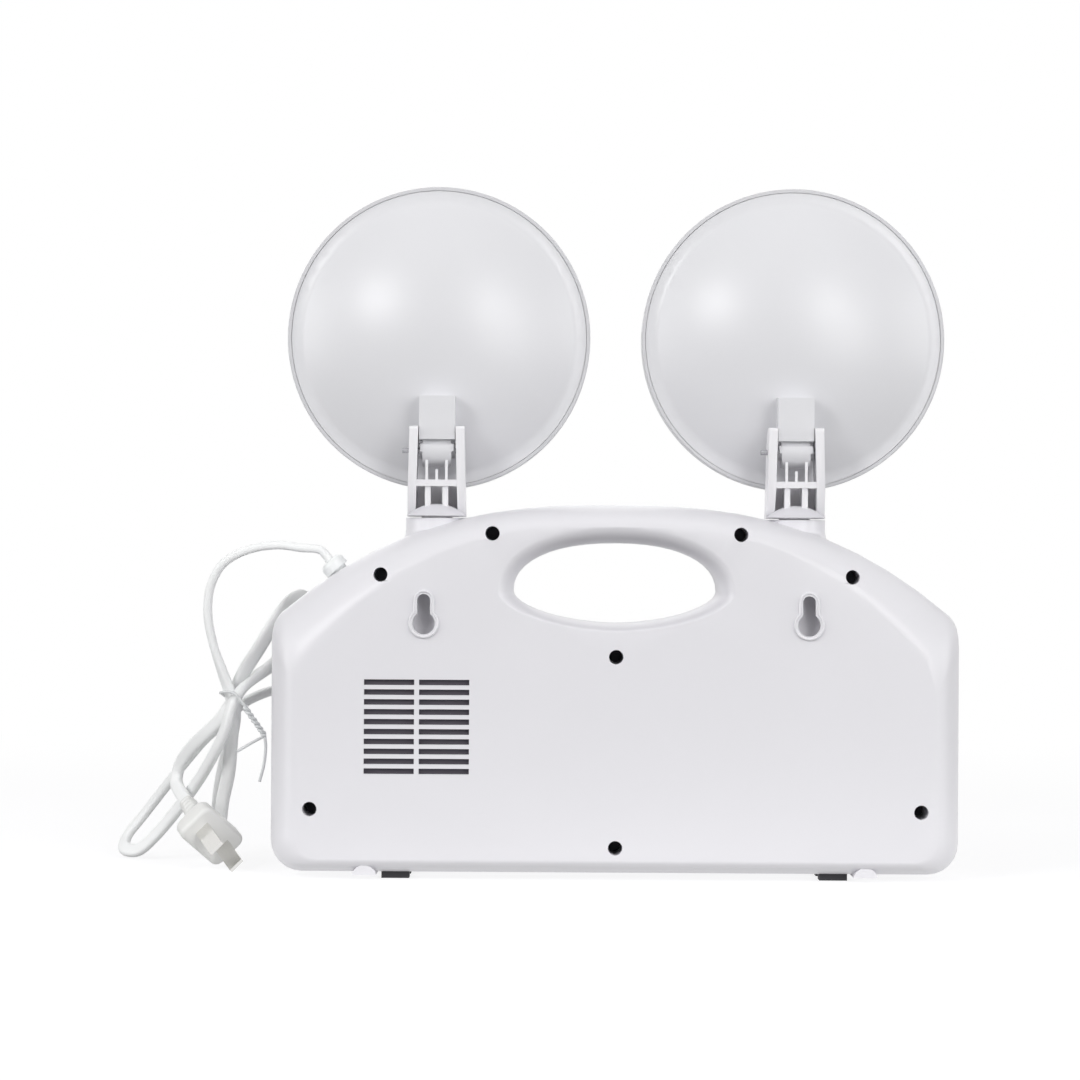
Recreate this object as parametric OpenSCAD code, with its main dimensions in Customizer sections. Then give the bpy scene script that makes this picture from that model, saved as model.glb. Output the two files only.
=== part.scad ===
// Twin head emergency light: a two-part moulded case with a carrying handle, two round lamp heads
// on yokes that swivel on the shoulders, a mains lead in a tied hank, and the battery and charger inside.
// Millimetres. X runs along the width, Y from the rear face (negative) to the front (positive), Z up.
// The origin is under the middle of the case, on the surface that the feet stand on.

/* [Case] */
// Width of the case at its seam
body_w = 265.8; // [235:0.2:300]
// Height of the crown of the handle above the standing surface
body_top = 144.3; // [138:0.1:155]
// Depth from the seam to the rear face
rear_depth = 28; // [25:0.5:36]
// Depth from the seam to the front face
front_depth = 28; // [25:0.5:36]
// How far the shoulders fall from the crown to the side walls
shoulder_drop = 45.5; // [38:0.5:50]
// Radius of the lower corners
corner_r = 12; // [8:0.5:18]
// Rounding where a shoulder meets a side wall
shoulder_r = 8; // [4:0.5:12]
// Wall thickness of the mouldings
wall = 2.2; // [1.6:0.1:2.6]
// Width of the sloped band round each flat face at the sides
band_w = 10.5; // [8:0.5:13]
// Drop of the sloped band at the crown
band_top = 8.3; // [7:0.1:10]
// Rise of the sloped band at the bottom edge
band_bottom = 6; // [4:0.5:8]
// Depth and width of the groove along the seam
seam_groove = 0.5; // [0.2:0.1:0.8]
// Height of the locating lip inside the seam
lip_h = 2; // [1:0.5:4]
// Thickness of the locating lip
lip_t = 1.2; // [0.8:0.1:2]

/* [Handle opening] */
// Half width of the opening at the seam
grip_half_w = 39.6; // [34:0.2:42]
// Height of the opening's widest line above the standing surface
grip_z = 110.6; // [108:0.2:113]
// Rise of the opening above its widest line
grip_up = 18.9; // [16:0.1:20]
// Fall of the opening below its widest line
grip_down = 12.2; // [10:0.1:14]
// How far the opening flares out at each face
grip_flare = 6; // [2:0.1:7]
// Further fall of the flare below the opening
grip_flare_down = 3; // [1:0.1:5]

/* [Screws] */
// Radius of a screw well
well_r = 2.75; // [2.6:0.05:3.2]
// Radius of a screw head
screw_head_r = 2.5; // [2:0.05:3]
// Height of a screw head
screw_head_h = 1.9; // [1.4:0.1:2.4]
// Shank radius of the case screws
screw_r = 1.4; // [1:0.05:1.6]
// Outer radius of the screw pillars
pillar_r = 4.5; // [3.8:0.1:5]
// Thickness of the pillar floor under a screw head
pillar_floor = 5; // [3:0.5:8]
// Length of screw that bites into the front pillar
screw_bite = 11; // [7:0.5:16]

/* [Keyholes] */
// Spacing of the two wall-mounting keyholes
key_spacing = 147.4; // [140:0.2:152]
// Height of the round entries above the standing surface
key_z = 98.6; // [96:0.2:101]
// Radius of the round entry
key_entry_r = 4.3; // [3.8:0.1:4.6]
// Half width of the hanging slot
key_slot_r = 2.45; // [2:0.05:2.8]
// Height of the slot's top centre above the entry
key_slot_up = 8.65; // [7:0.05:10]
// Width of the raised rim round a keyhole
key_rim = 1.4; // [0.8:0.1:2]
// How far the rim stands proud of the rear face
key_rim_h = 0.7; // [0.2:0.1:1]
// Depth of the closed pocket behind a keyhole
key_pocket = 9; // [6:0.5:12]
// Widening of the pocket behind the keyhole's edge
key_under = 1.6; // [0.5:0.1:2.5]

/* [Vent] */
// Length of one vent slot
slot_l = 19.2; // [15:0.1:22]
// Height of one vent slot
slot_h = 2.15; // [1.5:0.05:2.6]
// Distance from slot to slot
slot_pitch = 3.78; // [3.4:0.02:4.2]
// Number of slots in a column
slot_rows = 10; // [6:1:12]
// Gap between the two columns
slot_gap = 1.85; // [1.2:0.05:3]
// Middle of the vent to the left of the case's middle
vent_x = 76.2; // [70:0.2:82]
// Height of the vent's middle
vent_z = 58.9; // [54:0.1:62]

/* [Feet] */
// Height of the rubber pads under the case
foot_h = 2.2; // [1.6:0.1:4]
// Length of a rubber pad across the case
foot_l = 10.7; // [8:0.1:14]
// Depth of a rubber pad
foot_d = 9; // [6:0.5:12]
// Distance of the pads from the middle of the case
foot_x = 84.4; // [70:0.2:90]
// Distance of the pads from the seam
foot_y = 10; // [8:0.5:16]
// Depth that a pad is let into the case
foot_sink = 1; // [0.6:0.1:1.4]
// Distance of the moulded half-round studs from the middle of the case
stud_x = 96; // [93:0.2:104]
// Radius of a moulded stud
stud_r = 4.7; // [3.5:0.1:5]

/* [Swivel] */
// Distance of each swivel axis from the middle of the case
swivel_x = 69.5; // [67:0.1:73]
// Radius of the swivel boss on a shoulder
boss_r = 12; // [10:0.1:13]
// Height of the flat top of the boss
boss_top = 139; // [138.5:0.1:141]
// Radius of the hollow swivel stem
stem_r = 6; // [5:0.1:7]
// Bore through the stem
stem_bore_r = 2.6; // [1.5:0.1:3.4]
// Radius of the collar that keeps the stem in the case
collar_r = 8.4; // [7.6:0.1:9]
// Thickness of that collar
collar_h = 2.4; // [1.6:0.1:3]
// Thickness of the boss above the collar
boss_roof = 4.5; // [3:0.1:6]

/* [Yoke] */
// Width over the yoke arms at their foot
yoke_w = 22.7; // [20:0.1:24]
// Width over the yoke arms at their top
yoke_top_w = 21.1; // [19.5:0.1:23]
// Clear width between the arms at their top
yoke_gap = 14.3; // [12:0.1:15]
// Clear width between the arms at their foot
yoke_foot_gap = 16.4; // [15:0.1:17]
// Height of the tilt pin above the standing surface
pin_z = 165; // [163:0.1:168]
// Distance of the tilt pin behind the swivel axis
pin_back = 4; // [3:0.1:5]
// Rise of the arm ends above the pin
arm_rise = 9.5; // [8:0.1:10]
// Distance of the arms' rear edge behind the pin
arm_end_r = 8.3; // [7:0.1:9]
// Running gap under the yoke
yoke_lift = 0.4; // [0.3:0.05:0.8]
// Radius of the steel tilt pin
pin_r = 1; // [0.8:0.05:1.4]
// How far the pin stands out of the left arm
pin_out = 3; // [1:0.1:5]

/* [Lamp heads] */
// Radius over the bezel ring of a lamp head
head_r = 59.4; // [52:0.1:62]
// Height of a lamp head's middle
head_z = 209.6; // [207:0.1:214]
// Distance of the back of the dome behind the swivel axis
dome_back = 2; // [1:0.1:3]
// Radius of curvature of the dome
dome_curve = 100; // [90:1:130]
// Width of the flange round the dome, under the bezel
head_flange = 4.8; // [4:0.1:7]
// Depth of the bezel ring
bezel_depth = 13; // [10:0.5:14]
// Wall thickness of the head shell
head_wall = 2; // [1.4:0.1:2.4]
// Width of the hinge lug on the back of a head
lug_w = 13.9; // [11:0.1:14]
// Height of the top of the lug above the pin
lug_up = 21.2; // [18:0.1:23]
// Number of lamp chips round each head
chip_count = 12; // [6:1:16]

/* [Lead] */
// Width of the flat twin lead
cord_w = 5.6; // [5:0.1:6.4]
// Thickness of the flat twin lead
cord_t = 3.6; // [3:0.1:4]
// Radius of the wire of the twist tie
tie_r = 0.7; // [0.4:0.05:1]

/* [Plug] */
// Width of the plug's face
plug_w = 24.4; // [23:0.1:28]
// Height of the plug's face
plug_h = 16.4; // [14:0.1:19]
// Length of the plug's wide part
plug_l = 8; // [6:0.1:12]
// Distance between the middles of the blades
blade_spacing = 12.7; // [12.7:0.1:12.8]
// Width of a blade
blade_w = 6.3; // [6:0.1:6.5]
// Thickness of a blade
blade_t = 1.5; // [1.4:0.1:1.6]
// Length of a blade
blade_l = 16; // [15:0.1:18]

/* [Battery and charger] */
// Radius of a battery cell
cell_r = 7.25; // [6:0.05:8]
// Length of a battery cell
cell_l = 50; // [40:0.5:60]
// Number of cells
cell_count = 3; // [2:1:4]
// Length of the control board
board_l = 86; // [80:1:92]
// Height of the control board
board_h = 46; // [44:1:52]
// Thickness of the control board
board_t = 1.6; // [1:0.1:2]
// Length of the transformer core
core_l = 30; // [24:0.5:34]
// Height of the transformer core
core_h = 25; // [20:0.5:28]
// Depth of the transformer core
core_d = 12; // [9:0.5:14]
// Radius of an indicator lamp
led_r = 2.5; // [2:0.1:3]
// Radius of the test button
button_r = 4; // [3:0.1:5]

/* [Hidden] */

// Overrun of every cut past the surface that it leaves
over = 1;
// Clearance between pieces that are assembled and then stay
seat_clear = 0.1;
// Clearance round a part that turns or slides in a bore
run_clear = 0.06;
// Gap between pieces that face each other without touching
air = 0.3;
// Roundness of the large and the small round forms
smooth = 96;
fine = 48;

half_w = body_w / 2;
case_bottom = foot_h;
// Steepness of the curve from the crown to the sides, of the seam line and of the flat faces
crown_power_share = 2.6;
face_power_share = 2.7;
// Extra fall of the flat face's shoulders, as a share of the seam's own fall
face_drop_share = 1.23;
// Places on one half of an outline
corner_steps = 6;
crown_steps = 11;
shoulder_steps = 4;
// Rounding of the case from its sides to its face, as turns along an oval that starts at a share of the depth
first_share = 0.02;
slope_start_share = 0.3;
slope_turns = [0, 16, 32, 46, 58, 69, 80];
// The same for the flare of the handle opening
flare_start_share = 0.5;
flare_turns = [0, 22, 42, 58, 72, 84];

function lerp(a, b, t) = a + (b - a) * t;
function lerp_all(a, b, t) = [for (i = [0 : len(a) - 1]) lerp(a[i], b[i], t)];
function arc_points(c, r, a0, a1, n) = [for (i = [0 : n])
    [c[0] + r * cos(lerp(a0, a1, i / n)), c[1] + r * sin(lerp(a0, a1, i / n))]];

// Depth as a share of the whole depth, then the inset or flare as a share of its width
function oval_shares(start, turns) = let (last = turns[len(turns) - 1])
    [for (a = turns) [lerp(start, 1, sin(a) / sin(last)), (1 - cos(a)) / (1 - cos(last))]];
slope_shares = concat([[first_share, 0]], oval_shares(slope_start_share, slope_turns));
flare_shares = concat([[0, 0]], oval_shares(flare_start_share, flare_turns));

// An outline of the case is held as half width, crown height, fall, bottom, corner and shoulder radius, power
function seam_level() = [half_w, body_top, shoulder_drop, case_bottom,
    corner_r, shoulder_r, crown_power_share];
function face_level() = [half_w - band_w, body_top - band_top, shoulder_drop * face_drop_share,
    case_bottom + band_bottom, corner_r - band_bottom / 2, shoulder_r, face_power_share];
function inset_level(l, t) = [l[0] - t, l[1] - t, l[2], l[3] + t, max(l[4] - t, t), l[5], l[6]];

function crown_z(l, x) = l[1] - l[2] * pow(abs(x) / l[0], l[6]);
function half_outline(l) = let (
        side_z = crown_z(l, l[0]),
        edge_x = l[0] - l[5] / 2,
        low = [l[0], side_z - l[5]],
        peak = [l[0], side_z],
        high = [edge_x, crown_z(l, edge_x)])
    concat(
        [[0, l[3]], [(l[0] - l[4]) / 2, l[3]]],
        arc_points([l[0] - l[4], l[3] + l[4]], l[4], -90, 0, corner_steps),
        [[l[0], (l[3] + l[4] + low[1]) / 2]],
        [for (i = [0 : shoulder_steps]) let (t = i / shoulder_steps)
            lerp_all(lerp_all(low, peak, t), lerp_all(peak, high, t), t)],
        [for (i = [1 : crown_steps]) let (x = edge_x * (1 - i / crown_steps)) [x, crown_z(l, x)]]);
// A whole outline starts at the crown and runs down the left side first
function outline(l) = let (h = half_outline(l), n = len(h) - 1)
    concat([for (i = [n : -1 : 1]) [-h[i][0], h[i][1]]], [for (i = [0 : n - 1]) h[i]]);
function ring(points, y) = [for (p = points) [p[0], y, p[1]]];

// Closed skin over rings of equal length that run from low y to high y
module skin(rings) {
    n = len(rings[0]);
    m = len(rings);
    points = [for (r = rings) each r];
    sides = [for (j = [0 : m - 2]) for (i = [0 : n - 1]) let (k = (i + 1) % n, a = j * n, b = a + n)
        each [[a + i, b + k, b + i], [a + i, a + k, b + k]]];
    first = [for (i = [n - 1 : -1 : 0]) i];
    last = [for (i = [0 : n - 1]) (m - 1) * n + i];
    polyhedron(points, concat([first, last], sides), convexity = 8);
}

// Outer form of one half: side is -1 for the rear and 1 for the front
function case_rings(side, depth) = let (
        s = seam_level(),
        f = face_level(),
        out = concat([ring(outline(inset_level(s, seam_groove)), 0)],
            [for (v = slope_shares) ring(outline(lerp_all(s, f, v[1])), side * depth * v[0])]))
    side > 0 ? out : [for (i = [len(out) - 1 : -1 : 0]) out[i]];
// Hollow of one half, a wall inside the outer form and open at the seam
function hollow_rings(side, depth, mouth) = let (
        s = seam_level(),
        f = face_level(),
        inner = depth - wall,
        out = concat(
            [ring(outline(inset_level(s, mouth)), -side * (lip_h + over)),
                ring(outline(inset_level(s, mouth)), side * lip_h),
                ring(outline(inset_level(s, wall)), side * (lip_h + mouth))],
            [for (i = [1 : len(slope_shares) - 1]) let (v = slope_shares[i])
                ring(outline(inset_level(lerp_all(s, f, v[1]), wall)), side * inner * v[0])]))
    side > 0 ? out : [for (i = [len(out) - 1 : -1 : 0]) out[i]];

// Lens shape of the handle opening
grip_top_share = 2.25;
grip_low_share = 1.8;
grip_steps = 48;
function grip_outline(w, up, down) = [for (i = [0 : grip_steps - 1])
    let (a = -90 + 360 * i / grip_steps, c = cos(a), s = sin(a), p = s > 0 ? grip_top_share : grip_low_share)
    [w * sign(c) * pow(abs(c), 2 / p), grip_z + (s > 0 ? up : down) * sign(s) * pow(abs(s), 2 / p)]];
// Opening with its flare, grown all round by a wall for the tunnel round it
function grip_rings(side, depth, grow, reach) = let (
        at = function (y, f) ring(grip_outline(grip_half_w + grip_flare * f + grow,
            grip_up + grip_flare * f + grow, grip_down + grip_flare_down * f + grow), y),
        out = concat([at(-side * reach, 0)],
            [for (v = flare_shares) at(side * depth * v[0], v[1])],
            [at(side * (depth + reach), 1 + reach / depth)]))
    side > 0 ? out : [for (i = [len(out) - 1 : -1 : 0]) out[i]];

// Centres of the eight screws, as shares of the case's half width and crown height
screw_shares = [[0.358, 0.922], [0.68, 0.811], [0.88, 0.189]];
middle_screw_shares = [0.596, 0.09];
screw_places = concat(
    [for (s = screw_shares) for (m = [-1, 1]) [m * s[0] * half_w, s[1] * body_top]],
    [for (s = middle_screw_shares) [0, s * body_top]]);

// Round bar along Y between two depths
module bar_y(p, r, y0, y1) {
    translate([p[0], min(y0, y1), p[1]]) rotate([-90, 0, 0]) cylinder(h = abs(y1 - y0), r = r, $fn = fine);
}
module box(x, y, z) {
    translate([x[0], y[0], z[0]]) cube([x[1] - x[0], y[1] - y[0], z[1] - z[0]]);
}

// Swivel seats on the shoulders
boss_blend = 9;
boss_foot = 18;
blend_steps = 6;
collar_top = boss_top - boss_roof;
collar_groove = collar_h + 2 * air;
// Profile of a boss that flares softly into the shoulder
function boss_profile() = concat(
    [[0, boss_top - boss_foot], [boss_r + boss_blend, boss_top - boss_foot]],
    [for (i = [0 : blend_steps]) let (a = 90 * i / blend_steps)
        [boss_r + boss_blend * (1 - sin(a)),
            boss_top - boss_foot / 2 + boss_blend * (1 - cos(a)) - boss_blend / 2]],
    [[boss_r, boss_top], [0, boss_top]]);
module boss_half(side) {
    for (m = [-1, 1]) translate([m * swivel_x, 0, 0]) rotate([0, 0, side > 0 ? 0 : 180])
        rotate_extrude(angle = 180, $fn = smooth) polygon(boss_profile());
}
module swivel_seat_solid() {
    for (m = [-1, 1]) translate([m * swivel_x, 0, boss_top - boss_foot])
        cylinder(h = boss_foot, r = boss_r, $fn = smooth);
}
module swivel_seat_cut() {
    for (m = [-1, 1]) translate([m * swivel_x, 0, 0]) {
        translate([0, 0, boss_top - boss_foot - over])
            cylinder(h = boss_foot + 2 * over, r = stem_r + run_clear, $fn = fine);
        translate([0, 0, collar_top - collar_groove])
            cylinder(h = collar_groove, r = collar_r + air, $fn = fine);
    }
}

// Lead gland in the left shoulder, along an axis that leans up and outwards
gland_place_share = -0.809;
gland_x = gland_place_share * half_w;
gland_tilt = 42;
gland_collar_r = 5;
gland_collar_h = 3;
gland_round = 0.9;
gland_tip_r = 3.5;
gland_out = 5.4;
gland_neck_r = 3.5;
gland_neck_l = 3.4;
gland_flange_r = 5.2;
gland_flange_h = 2;
gland_seat_r = 8;
gland_seat_l = 11;
gland_face = 0.6;
module at_gland() {
    translate([gland_x, 0, crown_z(seam_level(), gland_x)]) rotate([0, -gland_tilt, 0]) children();
}
module gland_seat_solid() {
    at_gland() translate([0, 0, -gland_seat_l]) cylinder(h = gland_seat_l, r = gland_seat_r, $fn = fine);
}
module gland_seat_cut() {
    at_gland() {
        translate([0, 0, -gland_seat_l - over])
            cylinder(h = gland_seat_l + 2 * over + gland_collar_h, r = gland_neck_r + seat_clear, $fn = fine);
        translate([0, 0, -gland_neck_l - gland_flange_h - air])
            cylinder(h = gland_flange_h + 2 * air, r = gland_flange_r + seat_clear, $fn = fine);
        translate([0, 0, gland_face]) cylinder(h = gland_out, r = gland_collar_r + air, $fn = fine);
    }
}

// Keyhole outline, grown by a margin
module keyhole(grow) {
    circle(r = key_entry_r + grow, $fn = fine);
    translate([0, key_slot_up]) circle(r = key_slot_r + grow, $fn = fine);
    translate([-key_slot_r - grow, 0]) square([2 * (key_slot_r + grow), key_slot_up]);
}
// Keyholes as prisms between two depths behind the seam
module keyholes(grow, y0, y1) {
    for (m = [-1, 1]) translate([m * key_spacing / 2, y1, key_z]) rotate([90, 0, 0])
        linear_extrude(height = y1 - y0) keyhole(grow);
}

module vent_slots() {
    step = slot_l + slot_gap;
    for (m = [-1, 1]) for (i = [0 : slot_rows - 1])
        translate([-vent_x + m * step / 2 - slot_l / 2, -rear_depth - over,
            vent_z + (i - (slot_rows - 1) / 2) * slot_pitch - slot_h / 2])
            cube([slot_l, wall + 2 * over, slot_h]);
}

stud_depth_share = 0.9;
stud_lift_share = 0.9;
// Half-round studs moulded under the rear edge and their front twins
module studs(side, depth) {
    for (m = [-1, 1]) difference() {
        bar_y([m * stud_x, case_bottom / 2], stud_r, 0, side * depth * stud_depth_share);
        box([m * stud_x - stud_r - over, m * stud_x + stud_r + over], [-depth, depth],
            [-stud_r, case_bottom * stud_lift_share]);
    }
}
module foot_sockets(side) {
    for (m = [-1, 1]) translate([m * foot_x, side * foot_y, case_bottom + foot_sink / 2])
        cube([foot_l + 2 * seat_clear, foot_d + 2 * seat_clear, foot_sink + over], center = true);
}

// Ribs across the inside of each cover below the handle
rib_t = 1.4;
rib_h = 7;
rib_shares = [-0.62, -0.15, 0.15, 0.62];
module ribs(side, depth) {
    for (s = rib_shares) box([s * half_w - rib_t / 2, s * half_w + rib_t / 2],
        side > 0 ? [depth - wall - rib_h, depth] : [-depth, -depth + wall + rib_h],
        [case_bottom, case_bottom + band_bottom * 2]);
}

module rear_cover() {
    color([0.88, 0.87, 0.9]) difference() {
        union() {
            skin(case_rings(-1, rear_depth));
            boss_half(-1);
            studs(-1, rear_depth);
            keyholes(key_rim, -rear_depth - key_rim_h / 2, -rear_depth + wall);
            keyholes(key_rim / 2, -rear_depth - key_rim_h, -rear_depth + wall);
        }
        difference() {
            skin(hollow_rings(-1, rear_depth, wall));
            skin(grip_rings(-1, rear_depth, wall, lip_h + 2 * over));
            swivel_seat_solid();
            gland_seat_solid();
            for (p = screw_places) bar_y(p, pillar_r, over, -rear_depth);
            keyholes(key_under + wall, -rear_depth, -rear_depth + key_pocket + wall);
            ribs(-1, rear_depth);
        }
        skin(grip_rings(-1, rear_depth, 0, over));
        swivel_seat_cut();
        gland_seat_cut();
        for (p = screw_places) {
            bar_y(p, well_r, -pillar_floor, -rear_depth - over);
            bar_y(p, screw_r + air, over, -rear_depth);
        }
        keyholes(0, -rear_depth - key_rim_h - over, -rear_depth + key_pocket);
        keyholes(key_under, -rear_depth + wall, -rear_depth + key_pocket);
        vent_slots();
        foot_sockets(-1);
    }
}

// Fittings on the inside of the front cover
board_behind_face = 14;
board_from_side = 26.2;
board_from_bottom = 26.2;
board_y = front_depth - board_behind_face;
board_x0 = board_from_side - half_w;
board_z0 = board_from_bottom;
board_post_r = 3.2;
board_post_in = 4;
board_screw_r = 1.1;
board_screw_head_r = 2;
board_screw_head_h = 1.2;
board_screw_l = 7;
board_corners = [for (i = [0, 1]) for (j = [0, 1])
    [board_x0 + (i == 0 ? board_post_in : board_l - board_post_in),
        board_z0 + (j == 0 ? board_post_in : board_h - board_post_in)]];

// Row of three indicators and the test button on the front face
panel_z = board_z0 + board_h / 2;
panel_step = 12;
button_x = board_x0 + board_l / 2 - 2 * panel_step;
led_x = [for (i = [1 : 3]) button_x + i * panel_step + led_r];
led_flange_r = led_r + air;
led_flange_h = 1;
led_leg = 0.5;
led_body_l = 6;
led_tip = front_depth + key_rim_h;
button_face = front_depth + key_rim_h;
button_flange_out = 1;
button_flange_r = button_r + button_flange_out;
button_flange_h = 1.2;
button_skirt = 4.8;

// Battery cradle
battery_x = 54.6;
battery_z = 46.2;
battery_h = 2 * cell_r * cell_count;
battery_y = front_depth - wall - cell_r - air;
cradle_t = 1.6;
clamp_t = 1.8;
clamp_w = 12;
clamp_ear = 9;
clamp_post_r = 3.6;
clamp_screw_z = battery_h / 2 + air + clamp_t + clamp_ear / 2;
clamp_foot_behind = 1.45;
clamp_foot_y = battery_y - clamp_foot_behind;

module front_fittings_solid() {
    for (p = board_corners) bar_y(p, board_post_r, board_y + board_t, front_depth);
    for (m = [-1, 1]) {
        bar_y([battery_x, battery_z + m * clamp_screw_z], clamp_post_r, clamp_foot_y, front_depth);
        box([battery_x + m * (cell_l / 2 + seat_clear) - (m < 0 ? cradle_t : 0),
                battery_x + m * (cell_l / 2 + seat_clear) + (m > 0 ? cradle_t : 0)],
            [battery_y, front_depth], [battery_z - battery_h / 2, battery_z + battery_h / 2]);
    }
    bar_y([button_x, panel_z], button_flange_r + air + cradle_t, front_depth - button_skirt, front_depth);
}
module front_fittings_cut() {
    for (p = board_corners) bar_y(p, board_screw_r + seat_clear, board_y - over, board_y + board_screw_l);
    for (m = [-1, 1]) bar_y([battery_x, battery_z + m * clamp_screw_z], board_screw_r + seat_clear,
        clamp_foot_y - over, clamp_foot_y + board_screw_l);
    for (x = led_x) bar_y([x, panel_z], led_r + seat_clear, front_depth - wall - over, front_depth + over);
    bar_y([button_x, panel_z], button_r + run_clear, front_depth - wall - over, front_depth + over);
    bar_y([button_x, panel_z], button_flange_r + air, front_depth - button_skirt - over, front_depth - wall);
}

module front_cover() {
    color([0.88, 0.87, 0.9]) difference() {
        union() {
            skin(case_rings(1, front_depth));
            skin([ring(outline(inset_level(seam_level(), wall + seat_clear)), -lip_h),
                ring(outline(inset_level(seam_level(), wall + seat_clear)), lip_h / 2)]);
            boss_half(1);
            studs(1, front_depth);
        }
        difference() {
            skin(hollow_rings(1, front_depth, wall + seat_clear + lip_t));
            skin(grip_rings(1, front_depth, wall, 0));
            intersection() {
                union() {
                    swivel_seat_solid();
                    gland_seat_solid();
                }
                box([-half_w, half_w], [0, front_depth], [0, body_top]);
            }
            for (p = screw_places) bar_y(p, pillar_r, 0, front_depth);
            ribs(1, front_depth);
            front_fittings_solid();
        }
        skin(grip_rings(1, front_depth, 0, lip_h + over));
        // Room in the lip for the pillars, the swivels, the gland and the tunnel of the other cover
        for (p = screw_places) bar_y(p, pillar_r + air, 0, -lip_h - over);
        for (m = [-1, 1]) translate([m * swivel_x, 0, 0]) box([-boss_r - air, boss_r + air],
            [-lip_h - over, 0], [0, body_top]);
        box([gland_x - gland_seat_l, gland_x + gland_seat_l], [-lip_h - over, 0],
            [grip_z - gland_seat_l, body_top]);
        skin([ring(grip_outline(grip_half_w + wall + air, grip_up + wall + air, grip_down + wall + air),
                -lip_h - over),
            ring(grip_outline(grip_half_w + wall + air, grip_up + wall + air, grip_down + wall + air), 0)]);
        swivel_seat_cut();
        gland_seat_cut();
        for (p = screw_places) bar_y(p, screw_r + seat_clear, -over, screw_bite + over);
        front_fittings_cut();
        foot_sockets(1);
    }
}

module pan_screw(p, y, head_r, head_h, r, l) {
    bar_y(p, head_r, y - head_h, y);
    bar_y(p, r, y, y + l);
}
module case_screws() {
    color([0.12, 0.12, 0.14]) for (p = screw_places)
        pan_screw(p, -pillar_floor, screw_head_r, screw_head_h, screw_r, pillar_floor + screw_bite);
}

// Dark dust screen held against the inside of the vent
screen_t = 1;
screen_margin = 2;
module vent_screen() {
    reach = slot_l + slot_gap / 2 + screen_margin;
    rise = slot_rows * slot_pitch / 2 + screen_margin;
    color([0.3, 0.29, 0.31]) box([-vent_x - reach, -vent_x + reach],
        [-rear_depth + wall + seat_clear / 2, -rear_depth + wall + seat_clear / 2 + screen_t],
        [vent_z - rise, vent_z + rise]);
}

module foot_pads() {
    color([0.28, 0.28, 0.3]) for (m = [-1, 1]) for (s = [-1, 1])
        translate([m * foot_x, s * foot_y, (case_bottom + foot_sink) / 2])
            cube([foot_l, foot_d, case_bottom + foot_sink], center = true);
}

module cord_gland() {
    color([0.9, 0.92, 0.93]) at_gland() rotate_extrude($fn = fine) polygon([
        [0, -gland_neck_l - gland_flange_h], [gland_flange_r, -gland_neck_l - gland_flange_h],
        [gland_flange_r, -gland_neck_l], [gland_neck_r, -gland_neck_l],
        [gland_neck_r, gland_face + air], [gland_collar_r, gland_face + air],
        [gland_collar_r, gland_face + gland_collar_h],
        [gland_collar_r - gland_round / 2, gland_face + gland_collar_h + gland_round],
        [gland_tip_r, gland_out], [0, gland_out]]);
}

// Mains lead: a flat twin cord swept along points, wide across the paper when it hangs
gland_tip = [gland_x - gland_out * sin(gland_tilt), 0,
    crown_z(seam_level(), gland_x) + gland_out * cos(gland_tilt)];
gland_way = [-sin(gland_tilt), 0, cos(gland_tilt)];
// Points of the free stretch from the gland down to the tie
free_route = [
    [-122.5, 1, 127], [-131, 3, 128], [-140, 5.5, 127], [-148.5, 8, 124], [-154.8, 10.3, 119],
    [-158.8, 12.5, 110.5], [-159.6, 14, 100], [-157.6, 15.5, 89], [-154.2, 16.5, 78.5]];
// Points of the hank from the tie through its folds to the plug
hank_route = [
    [-150.5, 17, 68], [-150, 18, 59], [-151, 23, 48.5], [-152.5, 31, 37.5], [-155.5, 40, 25.5],
    [-157.5, 48, 12.5], [-159.5, 57, 4], [-160, 67, 5], [-160, 71, 15], [-159, 67, 26.5],
    [-156.5, 56, 37], [-153, 40, 47.5], [-150, 24, 58], [-149.5, 22, 67.5], [-146.2, 22.5, 77.3],
    [-140.8, 28, 86.5], [-134.8, 37, 97.3], [-129.2, 47, 105.5], [-124, 58, 107], [-124, 66, 99.5],
    [-128, 61.5, 90], [-134.5, 42, 82.5], [-141, 22, 76], [-146, 13.5, 71.5], [-150, 11.5, 64.5],
    [-152.5, 13.5, 56], [-157, 22, 46.5], [-163.8, 40, 36], [-171, 56.5, 26.5], [-178, 62.5, 17.5],
    [-185, 65, 9.5], [-191.5, 67.5, 3.9], [-197.8, 72.5, 4], [-197.5, 78.5, 8.6], [-191.5, 80.5, 16.5],
    [-184.8, 78, 25], [-178, 72.5, 33.5], [-170.8, 63, 42], [-162.5, 49.5, 51], [-154, 37.5, 58.2],
    [-148, 37.5, 64.4], [-140.5, 46, 68.2], [-132.5, 57.5, 70.4], [-125, 67, 71.6], [-118.6, 71.5, 72.8],
    [-113.8, 72.5, 78.5], [-117.8, 69.5, 84.2], [-126.5, 62, 84], [-134, 51.5, 81], [-141, 40, 76.5],
    [-147.3, 30.5, 71.5], [-151.2, 27, 65], [-155.8, 28.5, 58.5], [-161.5, 33.5, 53], [-167, 41.5, 48],
    [-171.3, 49.5, 43], [-174.6, 55.8, 37.5], [-175.3, 54.8, 31.5]];
cord_sides = 8;
cord_part_steps = 2;
// Turn of the flat section where it leaves the gland, and the share of the free stretch that keeps it
cord_turn = 90;
turn_kept_share = 0.7;
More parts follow.
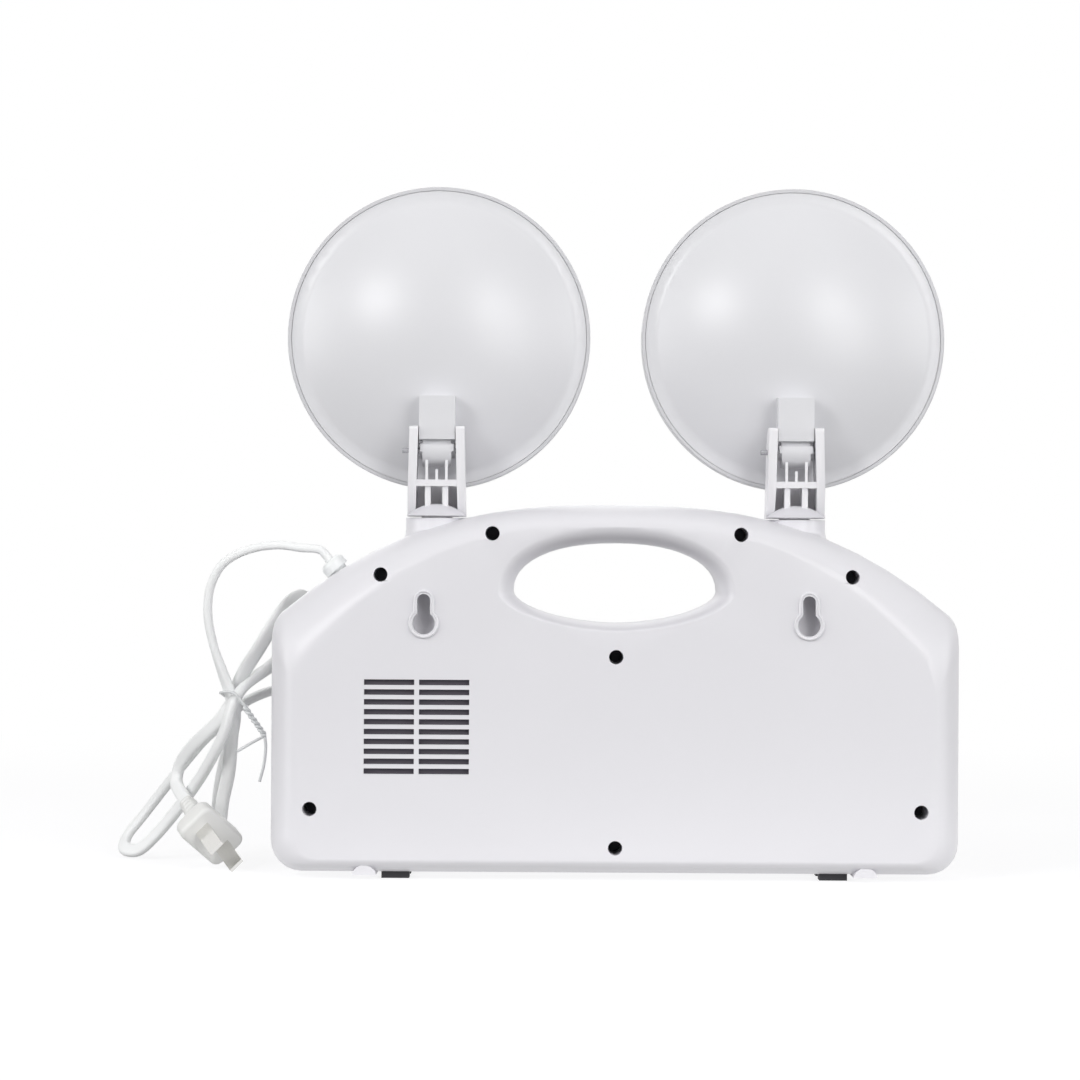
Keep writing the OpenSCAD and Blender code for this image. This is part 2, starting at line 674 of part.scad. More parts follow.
// Where the plug lies: the middle of its face, its roll and its turn
plug_place = [-157.5, 18, 12.6];
plug_roll = 45;
plug_turn = 35;
plug_way = [sin(plug_turn) * cos(plug_roll), -cos(plug_turn), -sin(plug_turn) * sin(plug_roll)];
plug_neck_w = 15;
plug_neck_h = 11;
plug_neck_l = 7;
plug_corner = 3.2;
relief_r = 4.3;
relief_l = 15;
relief_ribs = 5;
relief_groove = 0.9;
relief_wide = 2;
plug_rear = plug_l + plug_neck_l + relief_l;
cord_end = plug_place - plug_way * plug_rear;
cord_run = plug_place - plug_way * (plug_rear + cord_w);
cord_way = concat([gland_tip, gland_tip + gland_way * cord_w], free_route, hank_route, [cord_run, cord_end]);
cord_split = (len(free_route) + 2) * cord_part_steps;
function unit(v) = v / norm(v);
function bend(a, b, c, d, t) = (2 * b + (c - a) * t + (2 * a - 5 * b + 4 * c - d) * t * t
    + (3 * b - a - 3 * c + d) * t * t * t) / 2;
function eased_through(way, steps) = let (n = len(way)) concat(
    [for (i = [0 : n - 2]) for (k = [0 : steps - 1])
        bend(way[max(i - 1, 0)], way[i], way[i + 1], way[min(i + 2, n - 1)], k / steps)],
    [way[n - 1]]);
// Middle line of the cord, eased through its points
cord_line = eased_through(cord_way, cord_part_steps);
cord_count = len(cord_line);
cord_tangent = [for (i = [0 : cord_count - 1]) i == 0 ? gland_way : i == cord_count - 1 ? plug_way
    : unit(cord_line[i + 1] - cord_line[i - 1])];
function flat_to(v, t) = unit(v - t * (v * t));
// Wide axis of the cord's section, carried along without twist
cord_wide = [for (i = 0, w = [gland_way[2], 0, -gland_way[0]]; i < cord_count; i = i + 1,
    w = flat_to(w, cord_tangent[min(i, cord_count - 1)])) flat_to(w, cord_tangent[i])];
function eased_off(u) = u >= 1 ? 0 : (1 - u) * (1 - u) * (1 + 2 * u);
cord_axes = [for (i = [0 : cord_count - 1]) let (
        t = cord_turn * eased_off(max(0, (i / cord_split - turn_kept_share) / (1 - turn_kept_share))),
        w = cord_wide[i], n = cross(w, cord_tangent[i])) [w * cos(t) + n * sin(t), n * cos(t) - w * sin(t)]];
half_side = 180 / cord_sides;
cord_rings = [for (i = [0 : cord_count - 1]) [for (j = [0 : cord_sides - 1]) let (a = (2 * j + 1) * half_side)
    cord_line[i] + cord_axes[i][0] * cos(a) * cord_w / 2 + cord_axes[i][1] * sin(a) * cord_t / 2]];
// Least gap between stretches of the cord that lie apart along its length
cord_near = 9;
cord_apart = 4;
function least_between(p, q) = min([for (a = p) for (b = q) norm(a - b)]);
cord_gaps = [for (i = [0 : cord_count - 1]) for (j = [i + cord_apart : 1 : cord_count - 1])
    if (norm(cord_line[i] - cord_line[j]) < cord_near) least_between(cord_rings[i], cord_rings[j])];
cord_length = [for (i = [0 : cord_count - 2]) norm(cord_line[i + 1] - cord_line[i])]
    * [for (i = [0 : cord_count - 2]) 1];
echo(cord_least_gap = min(cord_gaps), cord_length = cord_length);
module power_cord() {
    color([0.92, 0.93, 0.94]) skin([for (i = [0 : cord_split]) cord_rings[i]]);
}
module cord_hank() {
    color([0.92, 0.93, 0.94]) skin([for (i = [cord_split : cord_count - 1]) cord_rings[i]]);
}

// Wire tie: a ring round the hank, a short twist in front of it and two tails
tie_route = [
    [-143.8, 6.5, 64.2], [-147.6, 6.7, 69.2], [-150.6, 7.4, 70.6], [-153.6, 9.4, 70.3], [-155.1, 14, 69.8],
    [-155.1, 22, 69.3], [-154.7, 30, 68.3], [-152.8, 38, 66.4], [-149.4, 41.8, 63.9], [-146.4, 40.6, 61.6],
    [-145, 35, 60.9], [-144.7, 24, 61.6], [-144.3, 13, 62.6], [-144.1, 9.4, 63.1], [-143.9, 7.4, 63.7],
    [-143.9, 6.6, 63.9]];
tie_plait = [
    [-144.2, 6.6, 64.6], [-142.4, 6.3, 61.8], [-140.2, 6, 58.8], [-138.2, 5.7, 56], [-136.4, 5.4, 53.4]];
tie_ring_steps = 2;
tie_plait_steps = 5;
plait_r_share = 0.75;
tie_tails = [
    [[-136.4, 5.4, 53.4], [-139.6, 5, 51.8], [-143.4, 4.7, 49.6], [-147.1, 4.6, 47.4]],
    [[-136.4, 5.4, 53.4], [-136, 5, 49], [-136.6, 4.8, 42.5], [-138.3, 4.6, 35.6]]];
tie_sides = 6;
function wire_rings(points, r) = let (n = len(points),
        t = [for (i = [0 : n - 1]) unit(points[min(i + 1, n - 1)] - points[max(i - 1, 0)])],
        w = [for (i = 0, v = [0, 0, 1]; i < n; i = i + 1, v = flat_to(v, t[min(i, n - 1)])) flat_to(v, t[i])])
    [for (i = [0 : n - 1]) [for (j = [0 : tie_sides - 1]) let (a = 360 * j / tie_sides)
        points[i] + (w[i] * cos(a) + cross(w[i], t[i]) * sin(a)) * r]];
// Rings about the middle of the twist; each wire steps round them by one side at a time
plait_rings = wire_rings(eased_through(tie_plait, tie_plait_steps), tie_r * plait_r_share);
module twist_tie() {
    color([0.95, 0.95, 0.95]) {
        skin(wire_rings(eased_through(tie_route, tie_ring_steps), tie_r));
        for (k = [0, 1]) skin(wire_rings([for (i = [0 : len(plait_rings) - 1])
            plait_rings[i][(i + k * tie_sides / 2) % tie_sides]], tie_r));
        for (t = tie_tails) skin(wire_rings(t, tie_r));
    }
}

// Two-pin plug lying on its side in front of the hank
module at_plug() {
    translate(plug_place) rotate([0, plug_roll, 0]) rotate([90, 0, plug_turn]) children();
}
module plug_block(w, h, r, z0, z1) {
    translate([0, 0, z0]) linear_extrude(height = z1 - z0)
        offset(r = r, $fn = fine) square([w - 2 * r, h - 2 * r], center = true);
}
module plug_body() {
    color([0.87, 0.87, 0.86]) at_plug() difference() {
        union() {
            plug_block(plug_w, plug_h, plug_corner, -plug_l, 0);
            plug_block(plug_neck_w, plug_neck_h, plug_corner, -plug_l - plug_neck_l, -plug_l + over);
            translate([0, 0, -plug_rear]) linear_extrude(height = relief_l + over)
                scale([1, 1 / relief_wide + seat_clear * 2]) circle(r = relief_r, $fn = fine);
        }
        for (i = [1 : relief_ribs], m = [-1, 1])
            translate([0, m * (relief_r * (1 / relief_wide + seat_clear * 2)),
                -plug_l - plug_neck_l - i * relief_l / (relief_ribs + 1)])
                cube([2 * relief_r, relief_groove, relief_groove], center = true);
        for (m = [-1, 1]) translate([m * blade_spacing / 2, 0, -plug_l / 2])
            cube([blade_t + 2 * seat_clear, blade_w + 2 * seat_clear, plug_l + 2 * over], center = true);
    }
}
module plug_pins() {
    color([0.66, 0.66, 0.63]) at_plug() for (m = [-1, 1])
        translate([m * blade_spacing / 2 - blade_t / 2, -blade_w / 2, -plug_l / 2 + over])
            cube([blade_t, blade_w, blade_l + plug_l / 2 - over]);
}

// Lamp yoke: a domed round foot, two arms and a ribbed web open to the rear
foot_edge_h = 0.8;
foot_dome_h = 4.4;
foot_dome_steps = 8;
arm_foot_back = 6;
arm_foot_front = 6.5;
arm_kink_z = 149.7;
arm_corner = 1.5;
web_t = 2;
bar_z0 = 151.2;
bar_h = 2.5;
bar_d = 3;
rib_w = 2.2;
rib_x = 3.4;
thin_rib = 1;
thin_rib_x = 3.8;
knuckle_r = 6.2;
rib_below_pin = 3.7;
short_rib_below_pin = 7.3;
yoke_z0 = boss_top + yoke_lift;
pin_y = -pin_back;
arm_rear = pin_y - arm_end_r;
arm_top = pin_z + arm_rise;
pin_head_r = 2.2;
pin_head_h = 1.2;

// Side of an arm: a foot, a kink in the rear edge, a square rear corner and a round front one about the pin
arm_end_steps = 12;
arm_corner_steps = 3;
module arm_profile() {
    polygon(concat([[-arm_foot_back, yoke_z0], [arm_foot_front, yoke_z0]],
        arc_points([pin_y, pin_z], arm_rise, 0, 90, arm_end_steps),
        arc_points([arm_rear + arm_corner, arm_top - arm_corner], arm_corner, 90, 180, arm_corner_steps),
        [[arm_rear, arm_kink_z]]));
}
module foot_profile() {
    r = yoke_w / 2 - seat_clear;
    polygon(concat([[0, yoke_z0], [r, yoke_z0]],
        [for (i = [foot_dome_steps : -1 : 0]) let (u = i / foot_dome_steps)
            [r * u, yoke_z0 + lerp(foot_dome_h, foot_edge_h, u * u)]]));
}
// Tall rib between two depths
module upright(x, w, y, z) {
    box([x - w / 2, x + w / 2], y, z);
}
module yoke() {
    inside = yoke_foot_gap / 2 + over;
    behind_knuckle = pin_y - knuckle_r - air;
    color([0.91, 0.9, 0.92]) difference() {
        union() {
            // Arms, drawn in towards their tops
            intersection() {
                translate([-yoke_w / 2, 0, 0]) rotate([90, 0, 90])
                    linear_extrude(height = yoke_w) arm_profile();
                translate([0, half_w, 0]) rotate([90, 0, 0]) linear_extrude(height = body_w) difference() {
                    polygon([[-yoke_w / 2, yoke_z0], [yoke_w / 2, yoke_z0],
                        [yoke_top_w / 2, arm_top], [-yoke_top_w / 2, arm_top]]);
                    polygon([[-yoke_foot_gap / 2, yoke_z0 - over], [yoke_foot_gap / 2, yoke_z0 - over],
                        [yoke_gap / 2, arm_top + over], [-yoke_gap / 2, arm_top + over]]);
                }
            }
            rotate_extrude($fn = smooth) foot_profile();
            // Web towards the front and the cross bar and ribs behind it
            box([-inside, inside], [arm_foot_front - 2 * web_t, arm_foot_front - web_t],
                [yoke_z0, bar_z0 + bar_h]);
            box([-inside, inside], [arm_rear + thin_rib / 2, arm_rear + bar_d], [bar_z0, bar_z0 + bar_h]);
            for (m = [-1, 1]) {
                upright(m * rib_x, rib_w, [arm_rear + 1.5 * thin_rib, arm_foot_front - web_t],
                    [yoke_z0, bar_z0 + thin_rib]);
                upright(m * thin_rib_x, thin_rib, [arm_rear + thin_rib, arm_rear + bar_d - thin_rib / 2],
                    [bar_z0, pin_z - knuckle_r - 2 * air]);
                upright(m * thin_rib_x, thin_rib, [arm_rear + thin_rib / 4, behind_knuckle],
                    [bar_z0 + thin_rib, pin_z - rib_below_pin]);
            }
            upright(0, thin_rib, [arm_rear + thin_rib, arm_rear + bar_d - thin_rib / 2],
                [bar_z0, pin_z - short_rib_below_pin]);
            // Stem and the collar that keeps it in the case
            translate([0, 0, boss_top - boss_foot + over]) cylinder(h = boss_foot, r = stem_r, $fn = fine);
            translate([0, 0, collar_top - collar_h - air]) cylinder(h = collar_h, r = collar_r, $fn = fine);
        }
        translate([0, 0, boss_top - boss_foot])
            cylinder(h = boss_foot + foot_dome_h + over, r = stem_bore_r, $fn = fine);
        translate([0, pin_y, pin_z]) rotate([0, 90, 0]) {
            cylinder(h = 2 * yoke_w, r = pin_r + run_clear / 2, center = true, $fn = fine);
            translate([0, 0, yoke_top_w / 2 - pin_head_h])
                cylinder(h = yoke_w, r = pin_head_r + seat_clear, $fn = fine);
        }
    }
}
module tilt_pin() {
    color([0.6, 0.6, 0.62]) translate([0, pin_y, pin_z]) rotate([0, 90, 0]) {
        translate([0, 0, -yoke_top_w / 2 - pin_out])
            cylinder(h = yoke_top_w + pin_out - pin_head_h, r = pin_r, $fn = fine);
        translate([0, 0, yoke_top_w / 2 - pin_head_h])
            cylinder(h = pin_head_h - air, r = pin_head_r, $fn = fine);
    }
}

// Lamp head. Profiles are radius against depth from the back of the dome, turned about the head's own axis
dome_r = head_r - head_flange;
dome_sag = dome_curve - sqrt(dome_curve * dome_curve - dome_r * dome_r);
bezel_wall = 1.4;
reflector_rim = 2;
flange_r = head_r - bezel_wall - air / 2;
flange_t = 2;
bezel_lip = 2.4;
bezel_lip_t = 1.2;
lens_t = 1.8;
lens_r = head_r - bezel_wall - air / 2;
dome_steps = 14;
lip_in_r = head_r - bezel_wall - bezel_lip;
function sag(r, c) = c - sqrt(c * c - r * r);
dome_profile = [for (i = [0 : dome_steps]) let (r = dome_r * i / dome_steps) [r, sag(r, dome_curve)]];
dome_inside = [for (i = [dome_steps : -1 : 0]) let (r = (dome_r - head_wall) * i / dome_steps)
    [r, sag(r, dome_curve) + head_wall]];
head_front = dome_sag + bezel_depth;
module at_head() {
    translate([0, -dome_back, head_z]) rotate([-90, 0, 0]) children();
}
module shell_profile() {
    polygon(concat(dome_profile,
        [[flange_r, dome_sag], [flange_r, dome_sag + flange_t], [dome_r, dome_sag + flange_t],
            [dome_r, head_front - lens_t - reflector_rim],
            [dome_r - head_wall, head_front - lens_t - reflector_rim]],
        dome_inside));
}

lug_back = 9;
lug_step = 2.4;
lug_low = 4.4;
lug_front = 6;
lug_ear_r = 3;
knuckle_w = 11.1;
knuckle_top_w = 12.9;
knuckle_top_h = 2.3;
knuckle_ledge = 0.4;
groove_in = 3.2;
module lug() {
    // Square block on the dome, with the curved knuckle below it between the arms
    difference() {
        union() {
            box([-lug_w / 2, lug_w / 2], [pin_y - lug_back + knuckle_r / 2, lug_front],
                [pin_z + lug_low - knuckle_ledge, pin_z + lug_up]);
            translate([-knuckle_w / 2, pin_y, pin_z]) rotate([90, 0, 90]) linear_extrude(height = knuckle_w) {
                circle(r = knuckle_r, $fn = fine);
                polygon([[-knuckle_r + lug_step, 0], [knuckle_r - knuckle_ledge, 0],
                    [lug_front - pin_y - lug_step, lug_up - lug_step], [-knuckle_r + lug_step, lug_up / 2]]);
            }
            intersection() {
                translate([0, pin_y, pin_z]) rotate([0, 90, 0])
                    cylinder(h = knuckle_top_w, r = knuckle_r - air, center = true, $fn = fine);
                box([-lug_w, lug_w], [pin_y - 2 * knuckle_r, pin_y],
                    [pin_z - knuckle_ledge, pin_z + knuckle_top_h + knuckle_ledge]);
            }
            translate([0, pin_y, pin_z]) rotate([0, 90, 0])
                cylinder(h = lug_w, r = lug_ear_r, center = true, $fn = fine);
        }
        box([-lug_w, lug_w], [pin_y - 2 * knuckle_r, pin_y - groove_in],
            [pin_z + knuckle_top_h, pin_z + lug_low]);
        translate([0, pin_y, pin_z]) rotate([0, 90, 0])
            cylinder(h = 2 * lug_w, r = pin_r + run_clear, center = true, $fn = fine);
    }
}
module head_shell() {
    color([0.9, 0.89, 0.92]) union() {
        at_head() rotate_extrude($fn = smooth) shell_profile();
        difference() {
            lug();
            at_head() rotate_extrude($fn = smooth) polygon(concat(
                [for (p = dome_profile) [p[0], p[1] + head_wall / 2]],
                [[dome_r, head_front], [0, head_front]]));
        }
    }
}
module bezel() {
    color([0.93, 0.93, 0.94]) at_head() rotate_extrude($fn = smooth) polygon([
        [flange_r + air / 2, dome_sag - air], [head_r - air, dome_sag - air], [head_r, dome_sag],
        [head_r, head_front + bezel_lip_t - air], [head_r - air, head_front + bezel_lip_t],
        [lip_in_r, head_front + bezel_lip_t], [lip_in_r, head_front], [flange_r + air / 2, head_front]]);
}
module lens() {
    color([0.9, 0.95, 0.97, 0.4]) at_head() translate([0, 0, head_front - lens_t])
        cylinder(h = lens_t, r = lens_r, $fn = smooth);
}
dish_r = 40;
dish_deep = 7;
seat_r = 24;
reflector_t = 1.2;
module reflector() {
    top = head_front - lens_t;
    color([0.8, 0.8, 0.82]) at_head() rotate_extrude($fn = smooth) polygon([
        [seat_r, top - dish_deep], [dish_r, top - reflector_rim], [lens_r, top - reflector_rim],
        [lens_r, top], [dish_r + reflector_t, top], [seat_r + reflector_t, top - dish_deep + reflector_t],
        [0, top - dish_deep + reflector_t], [0, top - dish_deep]]);
}
led_board_r = 22;
led_board_t = 1.2;
chip_size = 3;
chip_h = 0.8;
chip_ring_share = 0.72;
board_seat = head_front - lens_t - dish_deep + reflector_t;
module led_board() {
    color([0.95, 0.95, 0.95]) at_head() translate([0, 0, board_seat])
        cylinder(h = led_board_t, r = led_board_r, $fn = smooth);
}
module led_chips() {
    color([0.95, 0.85, 0.4]) at_head() for (i = [0 : chip_count - 1]) rotate([0, 0, 360 * i / chip_count])
        translate([led_board_r * chip_ring_share, 0, board_seat + led_board_t + chip_h / 2])
            cube([chip_size, chip_size, chip_h], center = true);
}

module on_side(m) {
    translate([m * swivel_x, 0, 0]) children();
}

// Battery, board and what stands on it
module battery_pack() {
    color([0.2, 0.45, 0.75]) translate([battery_x - cell_l / 2, battery_y, battery_z]) rotate([90, 0, 90])
        linear_extrude(height = cell_l) {
            for (i = [0 : cell_count - 1]) translate([0, (i - (cell_count - 1) / 2) * 2 * cell_r])
                circle(r = cell_r, $fn = fine);
            translate([-cell_r / 2, -battery_h / 2 + cell_r])
                square([cell_r, battery_h - 2 * cell_r]);
        }
}
module battery_clamp() {
    reach = battery_h / 2 + air;
    back = battery_y - cell_r - air;
    color([0.25, 0.25, 0.27]) difference() {
        union() {
            box([battery_x - clamp_w / 2, battery_x + clamp_w / 2], [back - clamp_t, back],
                [battery_z - reach - clamp_t, battery_z + reach + clamp_t]);
            for (m = [-1, 1]) {
                box([battery_x - clamp_w / 2, battery_x + clamp_w / 2], [back - over, clamp_foot_y],
                    [battery_z + m * (reach + clamp_t / 2) - clamp_t / 2,
                        battery_z + m * (reach + clamp_t / 2) + clamp_t / 2]);
                box([battery_x - clamp_w / 2, battery_x + clamp_w / 2],
                    [clamp_foot_y - clamp_t, clamp_foot_y],
                    [battery_z + m * (reach + clamp_t + clamp_ear / 2) - clamp_ear / 2 - over / 2,
                        battery_z + m * (reach + clamp_t + clamp_ear / 2) + clamp_ear / 2]);
            }
        }
        for (m = [-1, 1]) bar_y([battery_x, battery_z + m * clamp_screw_z], board_screw_r + air,
            clamp_foot_y - clamp_t - over, clamp_foot_y + over);
    }
}
module clamp_screws() {
    color([0.7, 0.7, 0.72]) for (m = [-1, 1]) pan_screw([battery_x, battery_z + m * clamp_screw_z],
        clamp_foot_y - clamp_t, board_screw_head_r, board_screw_head_h, board_screw_r, board_screw_l);
}
module control_board() {
    color([0.16, 0.42, 0.25]) difference() {
        box([board_x0, board_x0 + board_l], [board_y, board_y + board_t], [board_z0, board_z0 + board_h]);
        for (p = board_corners) bar_y(p, board_screw_r + air, board_y - over, board_y + board_t + over);
    }
}
module board_screws() {
    color([0.7, 0.7, 0.72]) for (p = board_corners) pan_screw(p, board_y, board_screw_head_r,
        board_screw_head_h, board_screw_r, board_screw_l - over);
}
core_place_share = 0.3;
core_x = board_x0 + board_l * core_place_share;
core_z = board_z0 + board_h / 2;
winding_w = 15.6;
winding_d = 20;
module transformer_core() {
    color([0.35, 0.36, 0.38]) difference() {
        box([core_x - core_l / 2, core_x + core_l / 2], [board_y - winding_d / 2 - core_d / 2,
            board_y - winding_d / 2 + core_d / 2], [core_z - core_h / 2, core_z + core_h / 2]);
        box([core_x - winding_w / 2, core_x + winding_w / 2], [board_y - winding_d, board_y],
            [core_z - core_h / 3, core_z + core_h / 3]);
    }
}
module transformer_winding() {
    color([0.75, 0.5, 0.2]) box([core_x - winding_w / 2 + seat_clear, core_x + winding_w / 2 - seat_clear],
        [board_y - winding_d, board_y], [core_z - core_h / 3 + seat_clear, core_z + core_h / 3 - seat_clear]);
}
cap_r = 4;
cap_l = 11;
cap_step = 10;
cap_place_share = 0.72;
cap_x = board_x0 + board_l * cap_place_share;
module capacitors() {
    color([0.15, 0.16, 0.3]) for (i = [0 : 2]) bar_y([cap_x, panel_z + (i - 1) * cap_step], cap_r,
        board_y - cap_l, board_y);
}
module led(x, tint) color(tint) {
    bar_y([x, panel_z], led_r, led_tip - led_body_l, led_tip - led_r);
    translate([x, led_tip - led_r, panel_z]) sphere(r = led_r, $fn = fine);
    bar_y([x, panel_z], led_flange_r, led_tip - led_body_l - led_flange_h, led_tip - led_body_l);
    for (m = [-1, 1]) box([x + m * led_r / 2 - led_leg / 2, x + m * led_r / 2 + led_leg / 2],
        [board_y + board_t, led_tip - led_body_l], [panel_z - led_leg / 2, panel_z + led_leg / 2]);
}
switch_w = 6;
switch_h = 4.5;
switch_top = board_y + board_t + switch_h;
stem_in = 0.6;
button_stem_r = 1.7;
switch_bore = 2.6;
module test_button() {
    stop = front_depth - wall - air / 2;
    color([0.85, 0.85, 0.86]) {
        bar_y([button_x, panel_z], button_r, stop - button_flange_h, button_face);
        bar_y([button_x, panel_z], button_flange_r, stop - button_flange_h, stop);
        bar_y([button_x, panel_z], button_stem_r, switch_top - stem_in, stop);
    }
}
module test_switch() {
    color([0.1, 0.1, 0.11]) difference() {
        box([button_x - switch_w, button_x + switch_w], [board_y + board_t, switch_top],
            [panel_z - switch_w, panel_z + switch_w]);
        bar_y([button_x, panel_z], button_stem_r + run_clear, switch_top - switch_bore, switch_top + over);
    }
}

rear_cover();
front_cover();
case_screws();
vent_screen();
foot_pads();
cord_gland();
power_cord();
cord_hank();
twist_tie();
plug_body();
plug_pins();
battery_pack();
battery_clamp();
clamp_screws();
control_board();
transformer_core();
transformer_winding();
capacitors();
board_screws();
led(led_x[0], [0.2, 0.75, 0.3]);  // mains_led
led(led_x[1], [0.85, 0.2, 0.15]);  // charge_led
led(led_x[2], [0.95, 0.75, 0.2]);  // fault_led
test_button();
test_switch();
on_side(-1) yoke();  // left_yoke
on_side(-1) tilt_pin();  // left_tilt_pin
on_side(-1) head_shell();  // left_head_shell
on_side(-1) bezel();  // left_bezel
on_side(-1) lens();  // left_lens
on_side(-1) reflector();  // left_reflector
on_side(-1) led_board();  // left_led_board
on_side(-1) led_chips();  // left_led_chips
on_side(1) yoke();  // right_yoke
on_side(1) tilt_pin();  // right_tilt_pin
on_side(1) head_shell();  // right_head_shell
on_side(1) bezel();  // right_bezel
on_side(1) lens();  // right_lens
on_side(1) reflector();  // right_reflector
on_side(1) led_board();  // right_led_board
on_side(1) led_chips();  // right_led_chips
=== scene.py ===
"""Dresses the twin head emergency light: lead, tie and plug, smoothed mouldings, finishes and studio."""
import math

import bmesh
import bpy
from mathutils import Matrix, Vector


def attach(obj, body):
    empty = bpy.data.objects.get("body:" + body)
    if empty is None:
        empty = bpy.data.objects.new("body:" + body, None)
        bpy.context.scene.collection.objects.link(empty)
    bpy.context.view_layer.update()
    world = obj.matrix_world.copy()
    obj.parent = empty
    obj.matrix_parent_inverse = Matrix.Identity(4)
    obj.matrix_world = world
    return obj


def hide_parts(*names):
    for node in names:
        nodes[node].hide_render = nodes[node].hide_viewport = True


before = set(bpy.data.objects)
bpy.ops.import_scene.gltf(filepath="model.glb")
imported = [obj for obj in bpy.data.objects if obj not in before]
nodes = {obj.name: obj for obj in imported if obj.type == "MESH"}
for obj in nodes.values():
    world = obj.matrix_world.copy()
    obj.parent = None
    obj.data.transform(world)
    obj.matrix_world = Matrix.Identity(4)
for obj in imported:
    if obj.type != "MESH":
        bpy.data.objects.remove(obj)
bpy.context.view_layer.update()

# Lengths are in metres; tables and finishes give theirs in millimetres, times MM
MM = 0.001
# x runs to the right as the camera sees the light, y away from the camera to the light's front, and z up
UP, FRONTWARD = Vector((0, 0, 1)), Vector((0, 1, 0))
# The yokes' and keyholes' two sides, with the sign of their x
SIDES = ("left", -1), ("right", 1)


# Small tools

def linear(hex_colour):
    """An sRGB hex colour as the linear RGBA that the shader sockets take."""
    parts = [int(hex_colour[i:i + 2], 16) / 255 for i in (1, 3, 5)]
    return [c / 12.92 if c <= 0.04045 else ((c + 0.055) / 1.055) ** 2.4 for c in parts] + [1]


def add(tree, kind, links=None, values=None, **settings):
    """Adds a node with its settings, the links into its sockets and the values of the others."""
    node = tree.nodes.new(kind)
    for name, value in settings.items():
        setattr(node, name, value)
    for socket, value in (values or {}).items():
        node.inputs[socket].default_value = value
    for socket, source in (links or {}).items():
        tree.links.new(source, node.inputs[socket])
    return node


def empty_tree(owner):
    """The node tree of a material or a world, with nothing in it yet."""
    owner.use_nodes = True
    owner.node_tree.nodes.clear()
    return owner.node_tree


def background_rays(tree):
    """1 for the rays that find plain white behind all: the camera's, through clear pieces, off gloss."""
    ray = add(tree, "ShaderNodeLightPath")
    clear = add(tree, "ShaderNodeMath",
                {0: ray.outputs["Is Camera Ray"], 1: ray.outputs["Is Transmission Ray"]}, operation="MAXIMUM")
    return add(tree, "ShaderNodeMath", {0: clear.outputs[0], 1: ray.outputs["Is Glossy Ray"]},
               operation="MAXIMUM").outputs[0]


def piece_from(bm, name, worn, body="case"):
    """Turns a bmesh into a smooth object that rides on a body and wears a finish."""
    bmesh.ops.recalc_face_normals(bm, faces=bm.faces)
    mesh = bpy.data.meshes.new(name)
    bm.to_mesh(mesh)
    bm.free()
    mesh.shade_smooth()
    mesh.materials.append(worn)
    piece = bpy.data.objects.new(name, mesh)
    bpy.context.scene.collection.objects.link(piece)
    if body:
        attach(piece, body)
    return piece


def ring_of(bm, places):
    """A closed ring of edges through the given places."""
    verts = bmesh.ops.create_circle(bm, segments=len(places), radius=1)["verts"]
    for vert, place in zip(verts, places):
        vert.co = place
    return list({edge for vert in verts for edge in vert.link_edges})


def loft(bm, rings, endless=False):
    """Bridges closed rings one after another, then caps both ends, or joins the last ring to the first."""
    loops = [ring_of(bm, places) for places in rings]
    onward = loops[1:] + loops[:1] if endless else loops[1:]
    for here, there in zip(loops, onward):
        bmesh.ops.bridge_loops(bm, edges=here + there)
    if not endless:
        bmesh.ops.holes_fill(bm, edges=loops[0] + loops[-1], sides=0)


def eased(points, steps):
    """Points on a smooth curve that passes through the given ones."""
    curve = []
    for i in range(len(points) - 1):
        a, b = points[max(i - 1, 0)], points[i]
        c, d = points[i + 1], points[min(i + 2, len(points) - 1)]
        for k in range(steps):
            t = k / steps
            curve.append((2 * b + (c - a) * t + (2 * a - 5 * b + 4 * c - d) * t * t
                          + (3 * b - a - 3 * c + d) * t ** 3) / 2)
    return curve + [points[-1].copy()]


def in_metres(route):
    """A route given in millimetres as vectors in metres."""
    return [Vector(place) * MM for place in route]


def frames_along(curve, wide, turned_to=None, share=None):
    """For each point of a curve the point, its wide axis and its thin axis.

    The wide axis is carried along the curve without twist. share says how far, from 0 to 1, it is then turned
    towards turned_to at the point of that number."""
    made = []
    for i, here in enumerate(curve):
        tangent = (curve[min(i + 1, len(curve) - 1)] - curve[max(i - 1, 0)]).normalized()
        wide = (wide - tangent * wide.dot(tangent)).normalized()
        across, through = wide, wide.cross(tangent)
        if share and share(i) > 0:
            turn = math.atan2(turned_to.dot(through), turned_to.dot(across))
            # Half a turn changes nothing on a flat lead, so the shorter way round is taken
            turn = (turn + math.pi / 2) % math.pi - math.pi / 2
            across = (Matrix.Rotation(-turn * share(i), 3, tangent) @ across).normalized()
            through = across.cross(tangent)
        made.append((here, across, through))
    return made


def sweep(bm, curve, wide, section, **turning):
    """Lofts a section, given as (across, through) pairs, along a curve."""
    loft(bm, [[here + across * x + through * y for x, y in section]
              for here, across, through in frames_along(curve, wide, **turning)])


def circle(radius, count, start=0.0):
    """A circle of points as (x, y) pairs, of which the first is start steps past the x axis."""
    return [(radius * math.cos(turn), radius * math.sin(turn))
            for turn in (2 * math.pi * (k + start) / count for k in range(count))]


# Camera

# It stands level with the handle, 1.5 m behind the case's rear face, and looks at the face squarely
CAMERA_PLACE = (-0.0294, -1.528, 0.1306)
CAMERA_ROLL_DEG = -0.35
FACE_DISTANCE = 1.5
FRAME_WIDTH_AT_FACE = 0.41256
SENSOR_MM = 36
CAMERA_REACH = 50

